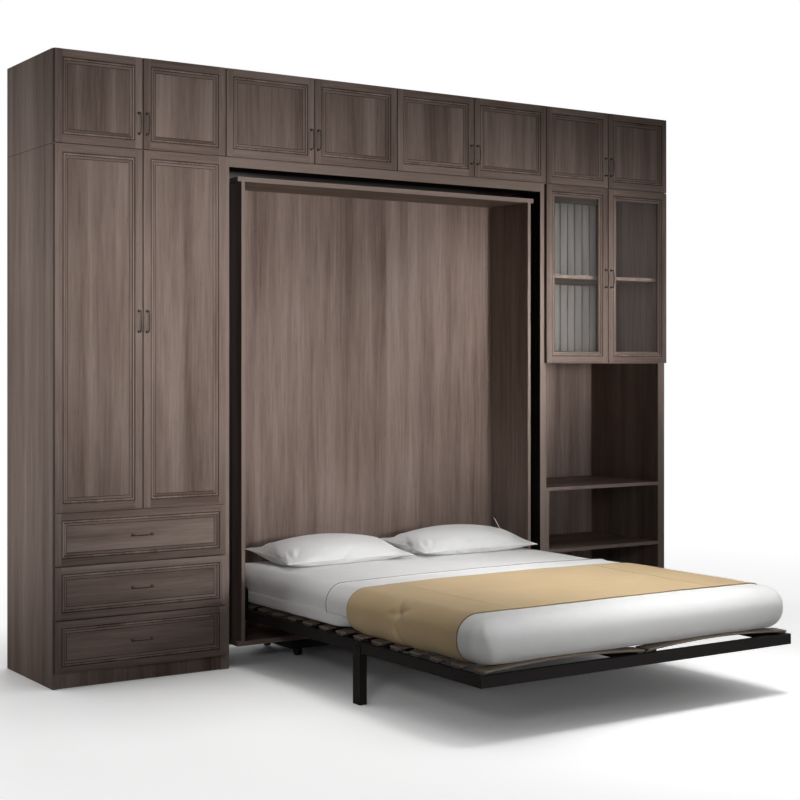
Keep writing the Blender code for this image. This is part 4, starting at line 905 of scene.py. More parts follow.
class WALLBED_OT_carcass(bpy.types.Operator):
    """Give the boards, the steel and the glass of the frame their finishes"""

    bl_idname = "wallbed.carcass"
    bl_label = "Boards, steel and glass"

    def execute(self, context):
        finishes = {
            finish_of("walnut_carcass", grey_walnut, None, 1.0, True): (
                "wardrobe_carcass", "display_carcass", "reverse_bookcase", "display_shelf",
            ),
            # Painted shade in the slot round the revolving box on the overhead carcass.
            finish_of("walnut_over_slot_shaded", grey_walnut, None, 1.0, True, True): ("overhead_carcass",),
            finish_of("walnut_edged_upright", grey_walnut, UPRIGHT, 1.0, True): (
                "wardrobe_side_left", "carousel_side_left", "carousel_side_right",
            ),
            finish_of("walnut_edged_across", grey_walnut, ACROSS, 1.0, True): (
                "carousel_bottom", "carousel_top",
            ),
            # Painted shade in the slot round the revolving box on the jambs and the header.
            finish_of("walnut_slot_shaded_upright", grey_walnut, UPRIGHT, 1.0, True, True): (
                "opening_jamb_left", "opening_jamb_right",
            ),
            finish_of("walnut_slot_shaded_across", grey_walnut, ACROSS, 1.0, True, True): ("opening_header",),
            walnut(UPRIGHT): ("carousel_back_panel",),
            finish_of("drawer_board", pale_board): tuple("drawer_box_%d" % number for number in range(1, 4)),
            plain("zinc_plate"): (
                "hanging_rail", "floor_guide", "turntable_plate", "bed_pivot_left", "bed_pivot_right",
            ),
            plain("black_powder_coat"): (
                "carriage", "bed_frame", "leg_left", "leg_right", "strut_barrel_left", "strut_barrel_right",
            ),
            plain("polished_rod"): ("strut_rod_left", "strut_rod_right"),
            finish_of("clear_glass", clear_glass): ("glass_pane_left", "glass_pane_right"),
        }
        for finish, nodes in finishes.items():
            for node in nodes:
                materials = frame["nodes"][node].data.materials
                materials.clear()
                materials.append(finish)
        self.add_joint_line()
        return {"FINISHED"}

    def add_joint_line(self):
        """Dark joint across the outer side, level with the gap below the upper doors: a thin proud strip of
        walnut darkened with painted shade, as the joint's shadow.
        """
        low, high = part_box("wardrobe_side_left")
        level = (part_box("tall_door_left")[1].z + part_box("upper_door_1")[0].z) / 2
        line = bmesh.new()
        add_block(
            line, (low.x - JOINT_PROUD, low.y + JOINT_PROUD, level - JOINT_HALF),
            (low.x + JOINT_PROUD, high.y - JOINT_PROUD, level + JOINT_HALF), JOINT_PROUD / 4, 1,
        )
        add_piece("side_joint_shadow_line", line, "cabinet", (shaded_quirk_walnut(),))


class WALLBED_OT_fronts(bpy.types.Operator):
    """Make the framed and moulded doors and drawer fronts"""

    bl_idname = "wallbed.fronts"
    bl_label = "Doors and drawer fronts"

    def execute(self, context):
        fronts = context.scene.wall_bed.fronts
        # Lighter walnut: a painted highlight along the beads.
        bead = finish_of("walnut_bead_highlight", grey_walnut, UPRIGHT, BEAD_HIGHLIGHT_LIGHTNESS)
        finishes = (walnut(UPRIGHT), walnut(ACROSS), shaded_quirk_walnut(), bead)
        for number, node in enumerate(UPPER_FRONTS + TALL_FRONTS + GLASS_FRONTS + DRAWER_FRONTS):
            drawer = node in DRAWER_FRONTS
            width = fronts.drawer_frame if drawer else fronts.door_frame
            low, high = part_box(node)
            if node in UPPER_FRONTS:
                low.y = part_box("tall_door_left")[0].y
            shape = front_shape(low, high, width, number + 1, 1 if drawer else 0, node in GLASS_FRONTS)
            add_piece(node + "_moulded", shape, body_of(node), finishes, (node,), 32)
        return {"FINISHED"}


UPPER_HANDLE_RISE = 0.110
UP = Vector((0, 0, 1))
RIGHT = Vector((1, 0, 0))
TO_ROOM = Vector((0, -1, 0))


class WALLBED_OT_handles(bpy.types.Operator):
    """Make the bow handles of the doors and drawers"""

    bl_idname = "wallbed.handles"
    bl_label = "Bow handles"

    def execute(self, context):
        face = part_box("tall_door_left")[0].y
        recess = context.scene.wall_bed.fronts.recess
        for names, depth, along in ((STANDING_HANDLES, 0, UP), (LYING_HANDLES, recess, RIGHT)):
            for name in names:
                low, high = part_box(name)
                middle = (low + high) / 2
                middle.y = face + depth
                self.add_handle(name, middle, along, (name,))
        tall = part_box("tall_handle_left")
        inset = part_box("tall_door_left")[1].x - (tall[0].x + tall[1].x) / 2
        for number, node in enumerate(UPPER_FRONTS):
            low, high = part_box(node)
            x = high.x - inset if number % 2 == 0 else low.x + inset
            self.add_handle(node, Vector((x, face, low.z + UPPER_HANDLE_RISE)), UP, ())
        return {"FINISHED"}

    def add_handle(self, node, middle, along, replaced):
        """Add one handle as a piece that rides with a CAD node."""
        shape = bmesh.new()
        add_bow(shape, middle, along, TO_ROOM)
        bmesh.ops.recalc_face_normals(shape, faces=shape.faces)
        add_piece(node + "_bow", shape, body_of(node), (plain("dark_bronze"),), replaced)


BOARD_THICKNESS = 0.018
LINING_PITCH = 0.055
LINING_GROOVE_HALF = 0.0022
LINING_THICKNESS = 0.009
LINING_ROUNDING = 0.0016


class WALLBED_OT_lining(bpy.types.Operator):
    """Line the glazed cupboard's back with grooved boards"""

    bl_idname = "wallbed.lining"
    bl_label = "Grooved lining"

    def execute(self, context):
        low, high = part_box("display_shelf")
        door_low, door_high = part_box("glass_door_left")
        spans = (
            (door_low.z + BOARD_THICKNESS, low.z - HAIR),
            (high.z + HAIR, door_high.z - BOARD_THICKNESS),
        )
        shape = bmesh.new()
        edges = [low.x, *even_cuts(low.x, high.x, LINING_PITCH), high.x]
        for left, right in zip(edges, edges[1:]):
            for bottom, top in spans:
                add_block(
                    shape, (left + LINING_GROOVE_HALF, high.y - LINING_THICKNESS, bottom),
                    (right - LINING_GROOVE_HALF, high.y - HAIR, top), LINING_ROUNDING,
                )
        add_piece("glazed_lining", shape, "cabinet", (plain("grey_lining"),))
        return {"FINISHED"}


DECK_OVERLAP = 0.010
MIDDLE_GAP_HALF = 0.004
SLAT_LIFT = 0.007
SLAT_END_GAP = 0.006
SLAT_BEND_PITCH = 0.022
SLAT_ROUNDING = 0.0025
LENGTHWISE_RUN = 0.001
PAD_HEIGHT = 0.0068
PAD_ROUNDING = 0.0015
PAD_WIDTH_SHARE = 0.36


class WALLBED_OT_slats(bpy.types.Operator):
    """Make the arched slats and the pads under their ends"""

    bl_idname = "wallbed.slats"
    bl_label = "Slats and pads"

    def execute(self, context):
        slats = context.scene.wall_bed.slats
        low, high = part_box("slat_deck")
        first = low.y - DECK_OVERLAP + slats.end_margin
        last = high.y + DECK_OVERLAP - slats.end_margin
        pitch = (last - first) / (slats.count - 1)
        base = low.z + SLAT_LIFT
        camber = high.z - base - slats.thickness
        wood = bmesh.new()
        mark = wood.faces.layers.float.new("board")
        pads = bmesh.new()
        for number in range(slats.count):
            y = first + number * pitch
            for start, end in ((-high.x, -MIDDLE_GAP_HALF), (MIDDLE_GAP_HALF, high.x)):
                before = len(wood.faces)
                self.add_slat(wood, slats, start, end, y, base, camber)
                wood.faces.ensure_lookup_table()
                for face in wood.faces[before:]:
                    face[mark] = number * 0.37 + start
                for place, side in ((start, 1), (end, -1)):
                    self.add_pad(pads, slats, place, side, y, low.z)
        veneer = finish_of("bent_wood", bent_wood)
        add_piece("bent_slats", wood, "bed", (veneer,), ("slat_deck",))
        add_piece("slat_holders", pads, "bed", (plain("black_plastic"),))
        return {"FINISHED"}

    def add_slat(self, shape, slats, start, end, y, base, camber):
        """Add one slat, bent up between its ends."""
        left = start + SLAT_END_GAP
        right = end - SLAT_END_GAP
        half = slats.width / 2
        made = add_block(shape, (left, y - half, base), (right, y + half, base + slats.thickness))
        edges = list({e for v in made for e in v.link_edges})
        faces = list({f for v in made for f in v.link_faces})
        for place in even_cuts(left, right, SLAT_BEND_PITCH):
            cut = bmesh.ops.bisect_plane(
                shape, geom=list(made) + edges + faces, dist=MERGE_DISTANCE, plane_co=(place, 0, 0),
                plane_no=(1, 0, 0),
            )
            linked = {g for g in cut["geom"] if g.is_valid} | {g for g in cut["geom_cut"] if g.is_valid}
            made = [g for g in linked if isinstance(g, bmesh.types.BMVert)]
            edges = [g for g in linked if isinstance(g, bmesh.types.BMEdge)]
            faces = [g for g in linked if isinstance(g, bmesh.types.BMFace)]
        long_edges = [
            e for e in edges
            if abs(e.verts[0].co.x - e.verts[1].co.x) > LENGTHWISE_RUN and len(e.link_faces) == 2
            and e.calc_face_angle(0) > 1
        ]
        rounded = round_edges(shape, long_edges, SLAT_ROUNDING)
        for vert in {v for v in made if v.is_valid} | set(rounded["verts"]):
            vert.co.z += camber * math.sin(math.pi * (vert.co.x - start) / (end - start))

    def add_pad(self, shape, slats, place, side, y, rail_top):
        """Add the pad under one end of a slat."""
        far = place + side * slats.pad_length
        half = slats.width * PAD_WIDTH_SHARE
        add_block(
            shape, (min(place, far), y - half, rail_top), (max(place, far), y + half, rail_top + PAD_HEIGHT),
            PAD_ROUNDING,
        )


class Slab:
    """Padded slab with rounded edges: its core inside the rounding, and its skin laid flat."""

    def __init__(self, low, high, edge):
        self.low = low
        self.high = high
        self.edge = edge
        self.bend = high.z - edge
        self.tuck = low.z + edge

    def core(self, place):
        """Nearest place of the core rectangle, at the same height."""
        x = min(max(place.x, self.low.x + self.edge), self.high.x - self.edge)
        y = min(max(place.y, self.low.y + self.edge), self.high.y - self.edge)
        return Vector((x, y, place.z))

    def unfold(self, place):
        """Place on the flat cloth, in metres: what is past the top's edge is folded out."""
        core = self.core(place)
        out = place - core
        if out.length < MERGE_DISTANCE:
            return core.xy
        if place.z > self.bend:
            run = self.edge * math.atan2(out.length, place.z - self.bend)
        else:
            run = self.edge * math.pi / 2 + self.bend - max(place.z, self.tuck)
        if place.z < self.tuck:
            run += self.edge * math.asin(min(1, (self.tuck - place.z) / self.edge))
        return (core + out.normalized() * run).xy

    def shape(self, pitch, crown):
        """Closed rounded slab cut into an even net, its top crowned."""
        shape = bmesh.new()
        low = self.low
        high = self.high
        edge = self.edge
        add_block(shape, low, high, edge, STEPS_PER_SOFT_EDGE)
        cut_planes(shape, 0, even_cuts(low.x + edge, high.x - edge, pitch))
        cut_planes(shape, 1, even_cuts(low.y + edge, high.y - edge, pitch))
        middle = (low + high) / 2
        half = (high - low) / 2
        for vert in shape.verts:
            if vert.co.z > high.z - HAIR:
                across = (vert.co.x - middle.x) / (half.x - edge)
                along = (vert.co.y - middle.y) / (half.y - edge)
                vert.co.z += crown * max(0, 1 - across * across) * max(0, 1 - along * along)
        return shape


def soft_step(value, low, high):
    """Rise smoothly from 0 to 1 between two values, which may run downwards."""
    share = min(1, max(0, (value - low) / (high - low)))
    return share * share * (3 - 2 * share)


def crease(spot, start, end, width, height):
    """Height that a crease between two flat places gives a spot: it tapers to both ends."""
    start = Vector(start)
    run = Vector(end) - start
    along = min(1, max(0, (spot - start).dot(run) / max(run.length_squared, 0.0000001)))
    away = (spot - start - run * along).length
    taper = 0.25 + 0.75 * math.sin(math.pi * min(1, along + 0.15))
    return height * math.exp(-((away / width) ** 2)) * taper


def dent(spot, middle, wide, deep, height):
    """Height that a round dent or bulge gives a spot."""
    away = ((spot.x - middle[0]) / wide) ** 2 + ((spot.y - middle[1]) / deep) ** 2
    return height * math.exp(-away)


def billow(spot, scale, seed):
    """Soft noise over the flat cloth."""
    place = Vector((spot.x * scale[0], spot.y * scale[1], seed))
    return noise.noise(place) + 0.4 * noise.noise(place * 2.3 + Vector((7, 3, 1)))


def map_faces(shape, faces, place_of):
    """Store a flat place for each corner of some faces as the cloth's map."""
    layer = shape.loops.layers.uv.active or shape.loops.layers.uv.new("cloth")
    for face in faces:
        for loop in face.loops:
            loop[layer].uv = place_of(loop.vert)


def lay_flat_map(shape, slab):
    """Map a sheet or skin by its flat places, and give its flat size."""
    flat = {vert: slab.unfold(vert.co) for vert in shape.verts}
    map_faces(shape, shape.faces, flat.get)
    across = [spot.x for spot in flat.values()]
    along = [spot.y for spot in flat.values()]
    return max(across) - min(across), max(along) - min(along)


def push_out(shape, slab, height_at, loft=0.0):
    """Move each point along its normal by a height worked out from its place and its flat place."""
    bedding = bpy.context.scene.wall_bed.bedding
    shape.normal_update()
    head = slab.high.y
    moves = []
    for vert in shape.verts:
        normal = vert.normal
        move = normal * height_at(vert.co, slab.unfold(vert.co))
        if loft:
            share = loft * soft_step(vert.co.y, bedding.loft_start, bedding.loft_full)
            side = normal.x * bedding.loft_side
            end = normal.y * bedding.loft_foot if vert.co.y < head - 1 else 0.0
            move += share * Vector((side, end, min(0.0, normal.z) * bedding.loft_under))
        moves.append((vert, move))
    for vert, move in moves:
        vert.co += move


BODY_WAVE = 0.0022
BODY_RIPPLE = 0.0009
# The pucker in the runner's left side. Dents: middle, half widths and height.
PUCKER_MIDDLE = (-0.80, -1.47)
PUCKER_REACH = 0.075
PUCKER_DENTS = (
    ((-0.797, -1.470), 0.026, 0.028, -0.0150),
    ((-0.840, -1.460), 0.034, 0.034, -0.0050),
    ((-0.885, -1.455), 0.030, 0.013, 0.0090),
    ((-0.762, -1.500), 0.017, 0.017, 0.0065),
    ((-0.780, -1.432), 0.015, 0.015, 0.0050),
)
# Creases: start, end, width and height.
PUCKER_CREASES = (
    ((-0.797, -1.470), (-0.735, -1.440), 0.009, -0.0090),
    ((-0.797, -1.475), (-0.770, -1.570), 0.009, -0.0085),
    ((-0.800, -1.465), (-0.815, -1.380), 0.010, -0.0050),
    ((-0.860, -1.475), (-0.935, -1.495), 0.011, -0.0075),
    ((-0.860, -1.435), (-0.940, -1.420), 0.010, -0.0055),
    ((-0.800, -1.480), (-0.855, -1.545), 0.012, -0.0050),
)


def body_relief(spot):
    """Relief that the mattress, the cover and the runner share, so that they stay one on another."""
    height = BODY_WAVE * billow(spot, (2.2, 4.2), 11.7) + BODY_RIPPLE * billow(spot, (7.0, 7.0), 3.1)
    height += sum(dent(spot, *hollow) for hollow in PUCKER_DENTS)
    return height + sum(crease(spot, *fold) for fold in PUCKER_CREASES)


def pucker_room(spot, deep):
    """Room that a lower layer leaves below the runner's pucker."""
    return dent(spot, PUCKER_MIDDLE, PUCKER_REACH, PUCKER_REACH, deep)


FACET_START = math.radians(4)
FACET_END_LOW = math.radians(72)
FACET_END_HIGH = math.radians(36)
FACET_SHARE = 0.9
FACET_RIDGE = 0.0022
FACET_RIDGE_WIDTH = math.radians(11)
FACET_MARGIN = 0.001


def facet(place, slab):
    """Height of the flat that the cover's foot corner has on its left side, up to a soft upright edge."""
    core = slab.core(place)
    out = place - core
    if min(-out.x, -out.y) < FACET_MARGIN:
        return 0.0
    turn = math.atan2(-out.y, -out.x)
    upright = (place.z - slab.low.z) / (slab.high.z - slab.low.z)
    end = FACET_END_LOW + (FACET_END_HIGH - FACET_END_LOW) * upright
    middle = (FACET_START + end) / 2
    half = (end - FACET_START) / 2
    flat = out.length * (math.cos(half) / math.cos(turn - middle) - 1) if abs(turn - middle) < half else 0.0
    ridge = FACET_RIDGE * math.exp(-(((turn - end) / FACET_RIDGE_WIDTH) ** 2))
    fade = math.sin(math.pi * min(1, max(0, upright))) ** 0.7
    return (FACET_SHARE * flat + ridge) * fade


CROWN_SHARE = 0.97
COTTON_PITCH = 0.0011
SHEET_ROOM = 0.0080
BAND_SEAM_HALF = 0.0015
BAND_ROUND = 0.008
BAND_STEP = 0.0046
HOLLOW = 0.0036
HOLLOW_REACH = 0.04
OPEN_REACH = (0.16, 0.05)
SIDE_REACH = (0.05, 0.005)
FILL_SHARE = 0.22
FLAT_NORMAL = 0.05
SHEET_CREASES = (
    ((0.80, -0.33), (0.90, -0.47), 0.010, -0.0060),
    ((0.82, -0.36), (0.91, -0.52), 0.012, 0.0040),
    ((0.79, -0.16), (0.88, -0.25), 0.012, -0.0048),
    ((0.76, -0.62), (0.90, -0.70), 0.016, -0.0036),
    ((0.77, -0.52), (0.86, -0.58), 0.014, -0.0030),
    ((0.74, -0.85), (0.86, -0.90), 0.014, 0.0026),
)


def mattress_slab(grow=0.0):
    """The mattress's slab without its crown, grown outwards."""
    bedding = bpy.context.scene.wall_bed.bedding
    low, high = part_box("mattress")
    room = Vector((grow, grow, grow))
    top = Vector((high.x, high.y, high.z - bedding.crown * CROWN_SHARE))
    return Slab(low - room, top + room, bedding.edge + grow)


def white_cotton():
    """The cotton of the sheet, the cover and the pillows."""
    white = bpy.context.scene.wall_bed.bedding.white
    return finish_of("white_cotton", woven_cloth, white, COTTON_PITCH, 0.03, 0.22)


def soften(piece):
    """Smooth a finished piece of cloth once more."""
    smooth = piece.modifiers.new("smooth", "SUBSURF")
    smooth.levels = 1
    smooth.render_levels = 1


class WALLBED_OT_mattress(bpy.types.Operator):
    """Make the mattress in its fitted sheet, with the sheet's band round its foot"""

    bl_idname = "wallbed.mattress"
    bl_label = "Mattress"

    def execute(self, context):
        bedding = context.scene.wall_bed.bedding
        slab = mattress_slab()
        band = slab.low.z + bedding.band_height
        shape = slab.shape(bedding.cloth / 2, bedding.crown)
        cut_planes(shape, 2, (band - BAND_SEAM_HALF, band + BAND_SEAM_HALF, band + BAND_ROUND))
        lay_flat_map(shape, slab)
        covered, bare = [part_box("top_cover")[1].y - reach for reach in OPEN_REACH]
        inner, outer = [slab.high.x - reach for reach in SIDE_REACH]
        shape.normal_update()
        for vert in shape.verts:
            self.square_off(vert, slab, soft_step(vert.co.y, covered, bare))

        def height_at(place, spot):
            open_share = soft_step(place.y, covered, bare)
            height = body_relief(spot) - pucker_room(spot, SHEET_ROOM)
            side = soft_step(abs(place.x), inner, outer)
            if place.z < band:
                height += BAND_STEP * open_share
            else:
                height -= HOLLOW * open_share * side * soft_step(place.z, band + HOLLOW_REACH, band)
            folded = Vector((abs(spot.x), spot.y))
            for start, end, width, rise in SHEET_CREASES:
                height += crease(folded, start, end, width, rise * side)
            return height

        push_out(shape, slab, height_at)
        cotton = (white_cotton(),)
        piece = add_piece("mattress_in_sheet", shape, "bed", cotton, ("mattress",), 70)
        soften(piece)
        return {"FINISHED"}

    def square_off(self, vert, slab, share):
        """Fill out the rounding below the side where the cover leaves it open."""
        if share <= 0 or vert.co.z > slab.tuck:
            return
        core = slab.core(vert.co)
        out = vert.co - core
        level = out.length
        if level < 10 * MERGE_DISTANCE:
            out = Vector((vert.normal.x, vert.normal.y, 0))
            if out.length < FLAT_NORMAL:
                return
        turn = 1 - math.sqrt(max(0, 1 - ((slab.tuck - vert.co.z) / slab.edge) ** 2))
        wanted = slab.edge * (1 - FILL_SHARE * turn)
        vert.co = core + out.normalized() * (level + (wanted - level) * share)


COVER_GROWTH = 0.0006
COVER_THICKNESS = 0.0028
COVER_ROOM = 0.0045
COVER_RIPPLE = 0.0008
HEM_MARGIN = 0.001
HEM_CUT = 0.003
HEM_SLOPE = 0.006
HEM_LIFT = 0.002
HEM_STEP = 0.0012
STITCH_HALF = 0.001
STITCH_DEPTH = 0.0010
SIDE_HEM_GAP = 0.002
HIDDEN_REACH = 0.09
CORD_LIFT = 0.0026
CORD_AHEAD = Vector((0, 0.0006, 0))
CORD_RADIUS = 0.0017
CORD_SIDES = 8
CORD_PITCH = 0.0012
# Dark grey of the cover's edge cord: partly a contrast cord, partly painted shade for the shadow line at the
# edge.
GREY_CORD_AND_EDGE_SHADE = (0.10, 0.10, 0.095)
RUNNER_GROWTH = 0.0042
RUNNER_THICKNESS = 0.0034
RUNNER_LIFT = 0.0010
RUNNER_RIPPLE = 0.0008
RUNNER_WAVE = 0.003
RUNNER_WAVES = 4
RUNNER_PITCH = 0.0016
SEAM_CUT = 0.004
SEAM_HALF = 0.001
SEAM_DEPTH = 0.0018
SEAM_FINDING = 0.0008
SEAM_LIFT = 0.0036
SEAM_RADIUS = 0.0011
PIPING_LIFT = 0.0018
PIPING_RADIUS = 0.0022
PIPING_LIGHTNESS = 0.42


class WALLBED_OT_covers(bpy.types.Operator):
    """Make the white top cover and the tan runner across the foot"""

    bl_idname = "wallbed.covers"
    bl_label = "Cover and runner"

    def execute(self, context):
        self.add_cover(context)
        self.add_runner(context)
        return {"FINISHED"}

    def cut_away(self, shape, place, normal, faces=None):
        """Drop the part of a sheet that lies past a plane."""
        chosen = set(faces or shape.faces)
        edges = list({e for f in chosen for e in f.edges})
        verts = list({v for f in chosen for v in f.verts})
        bmesh.ops.bisect_plane(
            shape, geom=list(chosen) + edges + verts, dist=MERGE_DISTANCE, plane_co=place, plane_no=normal,
            clear_outer=True,
        )

    def thicken(self, piece, thickness):
        """Give a sheet its thickness outwards and soften it."""
        solid = piece.modifiers.new("thickness", "SOLIDIFY")
        solid.thickness = thickness
        solid.offset = 1
        soften(piece)

    def rim(self, shape, flat, head):
        """The points of a sheet's edge across the bed, from left to right."""
        found = [v for v in shape.verts if v.is_boundary and abs(flat[v].y - head) < HAIR]
        return sorted(found, key=lambda v: flat[v].x)

    def add_cover(self, context):
        """White top cover from its stitched head hem to the foot."""
        bedding = context.scene.wall_bed.bedding
        low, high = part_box("top_cover")
        slab = mattress_slab(COVER_GROWTH)
        head = high.y - HEM_MARGIN
        stitch = head - bedding.hem_width
        side_hem = slab.low.z + bedding.band_height + SIDE_HEM_GAP
        shape = slab.shape(bedding.cloth / 2, bedding.crown)
        self.cut_away(shape, (0, head, 0), (0, 1, 0))
        cut_planes(shape, 1, (stitch - HEM_CUT, stitch, stitch + HEM_CUT))
        self.cut_away(shape, (0, 0, low.z), (0, 0, -1))
        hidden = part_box("runner")[1].y - HIDDEN_REACH
        upper = [f for f in shape.faces if f.calc_center_median().y > hidden]
        self.cut_away(shape, (0, 0, side_hem), (0, 0, -1), upper)
        width, length = lay_flat_map(shape, slab)
        area = sum(face.calc_area() for face in shape.faces)

        def height_at(place, spot):
            height = body_relief(spot) + COVER_RIPPLE * (1 + billow(spot, (9, 9), 5.2))
            height += facet(place, slab) - pucker_room(spot, COVER_ROOM)
            height += HEM_LIFT * soft_step(place.y, stitch - HEM_SLOPE, head)
            if place.y > stitch + STITCH_HALF:
                height += HEM_STEP
            elif place.y > stitch - STITCH_HALF:
                height -= STITCH_DEPTH
            return height

        flat = {vert: slab.unfold(vert.co) for vert in shape.verts}
        push_out(shape, slab, height_at, 1.0)
        # A dark grey cord along the head edge: partly a contrast cord, partly painted shade for the shadow
        # line at the edge.
        cord = bmesh.new()
        route = [v.co + v.normal * CORD_LIFT + CORD_AHEAD for v in self.rim(shape, flat, head)]
        self.add_thread(cord, route, CORD_RADIUS)
        piece = add_piece("white_cover", shape, "bed", (white_cotton(),), ("top_cover",), 75)
        self.thicken(piece, COVER_THICKNESS)
        grey = finish_of("grey_cord_and_edge_shade", woven_cloth, GREY_CORD_AND_EDGE_SHADE, CORD_PITCH, 0.06, 0.3)
        edge = self.add_threads("cover_edge_cord_and_shade", cord, grey, "white_cotton")

    def add_thread(self, shape, route, radius):
        """Add a cord or thread that lies along a sheet."""
        along = (route[-1] - route[0]).normalized()
        side = -TO_ROOM if abs(along.x) > 0.7 else RIGHT
        add_tube(shape, route, [radius] * len(route), side, sides=CORD_SIDES)

    def add_threads(self, name, shape, finish, slot):
        """Turn cords and threads into a piece."""
        bmesh.ops.recalc_face_normals(shape, faces=shape.faces)
        map_faces(shape, shape.faces, lambda vert: (vert.co.x + vert.co.y, vert.co.z))
        return add_piece(name, shape, "bed", (finish,), (), 60)

    def add_runner(self, context):
        """Tan runner with two long seams, a pucker at its left side and a piped edge."""
        bedding = context.scene.wall_bed.bedding
        low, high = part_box("runner")
        seams = (bedding.left_seam, bedding.right_seam)
        slab = mattress_slab(RUNNER_GROWTH)
        shape = slab.shape(bedding.cloth / 2, bedding.crown)
        self.cut_away(shape, (0, high.y, 0), (0, 1, 0))
        self.cut_away(shape, (0, low.y, 0), (0, -1, 0))
        cut_planes(shape, 1, even_cuts(low.y, high.y, bedding.cloth / 3))
        for seam in seams:
            cut_planes(shape, 0, (seam - SEAM_CUT, seam, seam + SEAM_CUT))
        self.cut_away(shape, (0, 0, low.z), (0, 0, -1))
        flat = {vert: slab.unfold(vert.co) for vert in shape.verts}
        width, length = lay_flat_map(shape, slab)
        middle = (slab.low.z + slab.high.z) / 2
        span = high.y - low.y

        def height_at(place, spot):
            height = body_relief(spot) + RUNNER_LIFT + RUNNER_RIPPLE * billow(spot, (5.0, 8.0), 23.1)
            drop = soft_step(place.z, middle, low.z)
            phase = 2 * math.pi * RUNNER_WAVES * (place.y - low.y) / span
            height += RUNNER_WAVE * drop * (1 - math.cos(phase)) / 2
            for seam in seams:
                if abs(place.x - seam) < SEAM_HALF:
                    height -= SEAM_DEPTH
            return height

        push_out(shape, slab, height_at, 1.0)
        pipe = bmesh.new()
        for place in (low.y, high.y):
            route = [v.co + v.normal * PIPING_LIFT for v in self.rim(shape, flat, place)]
            self.add_thread(pipe, route, PIPING_RADIUS)
        for seam in seams:
            line = [v for v in shape.verts if abs(flat[v].x - seam) < SEAM_FINDING and v.co.z > slab.bend]
            line.sort(key=lambda v: v.co.y)
            self.add_thread(pipe, [v.co + v.normal * SEAM_LIFT for v in line], SEAM_RADIUS)
        tan = finish_of("tan_cloth", woven_cloth, bedding.tan, RUNNER_PITCH, 0.06, 0.4)
        piece = add_piece("tan_runner", shape, "bed", (tan,), ("runner",), 75)
        self.thicken(piece, RUNNER_THICKNESS)
        piping_colour = tuple(PIPING_LIGHTNESS * value for value in bedding.tan)
        piping_finish = finish_of("tan_piping", woven_cloth, piping_colour, CORD_PITCH, 0.06, 0.4)
        piping = self.add_threads("runner_piping", pipe, piping_finish, "tan_cloth")


PILLOW_FRONT_SHARE = 0.23
PILLOW_BACK_SHARE = 0.47
PILLOW_RISE_SHARE = 0.62
PILLOW_SAG_SHARE = 0.62
PILLOW_FRONT_INSET = 0.030
PILLOW_INSETS = {"left": (0.070, 0.0), "right": (0.028, 0.040)}
PILLOW_SEEDS = {"left": 5.3, "right": 9.1}
PILLOW_CREASES = (
    ((0.050, 0.045), (0.070, 0.150), 0.012, -0.0130),
    ((0.055, 0.040), (0.135, 0.115), 0.013, -0.0110),
    ((0.060, 0.050), (0.100, 0.130), 0.012, 0.0080),
    ((0.050, 0.030), (0.170, 0.060), 0.013, -0.0060),
)
CASE_NET = (64, 40)
CASE_SLACK_SHARES = (1.07, 1.09)
CASE_RIPPLE = 0.002
CASE_GAP = 0.004
CASE_CLOTH = {
    "quality": 6, "mass": 0.25, "use_pressure": True, "tension_stiffness": 20, "compression_stiffness": 12,
    "shear_stiffness": 5, "bending_stiffness": 0.35, "air_damping": 4,
}
PLAIN_RISE = 0.07
PILLOW_RIM_SHARE = 0.12
PILLOW_PIPING_RADIUS = 0.0019


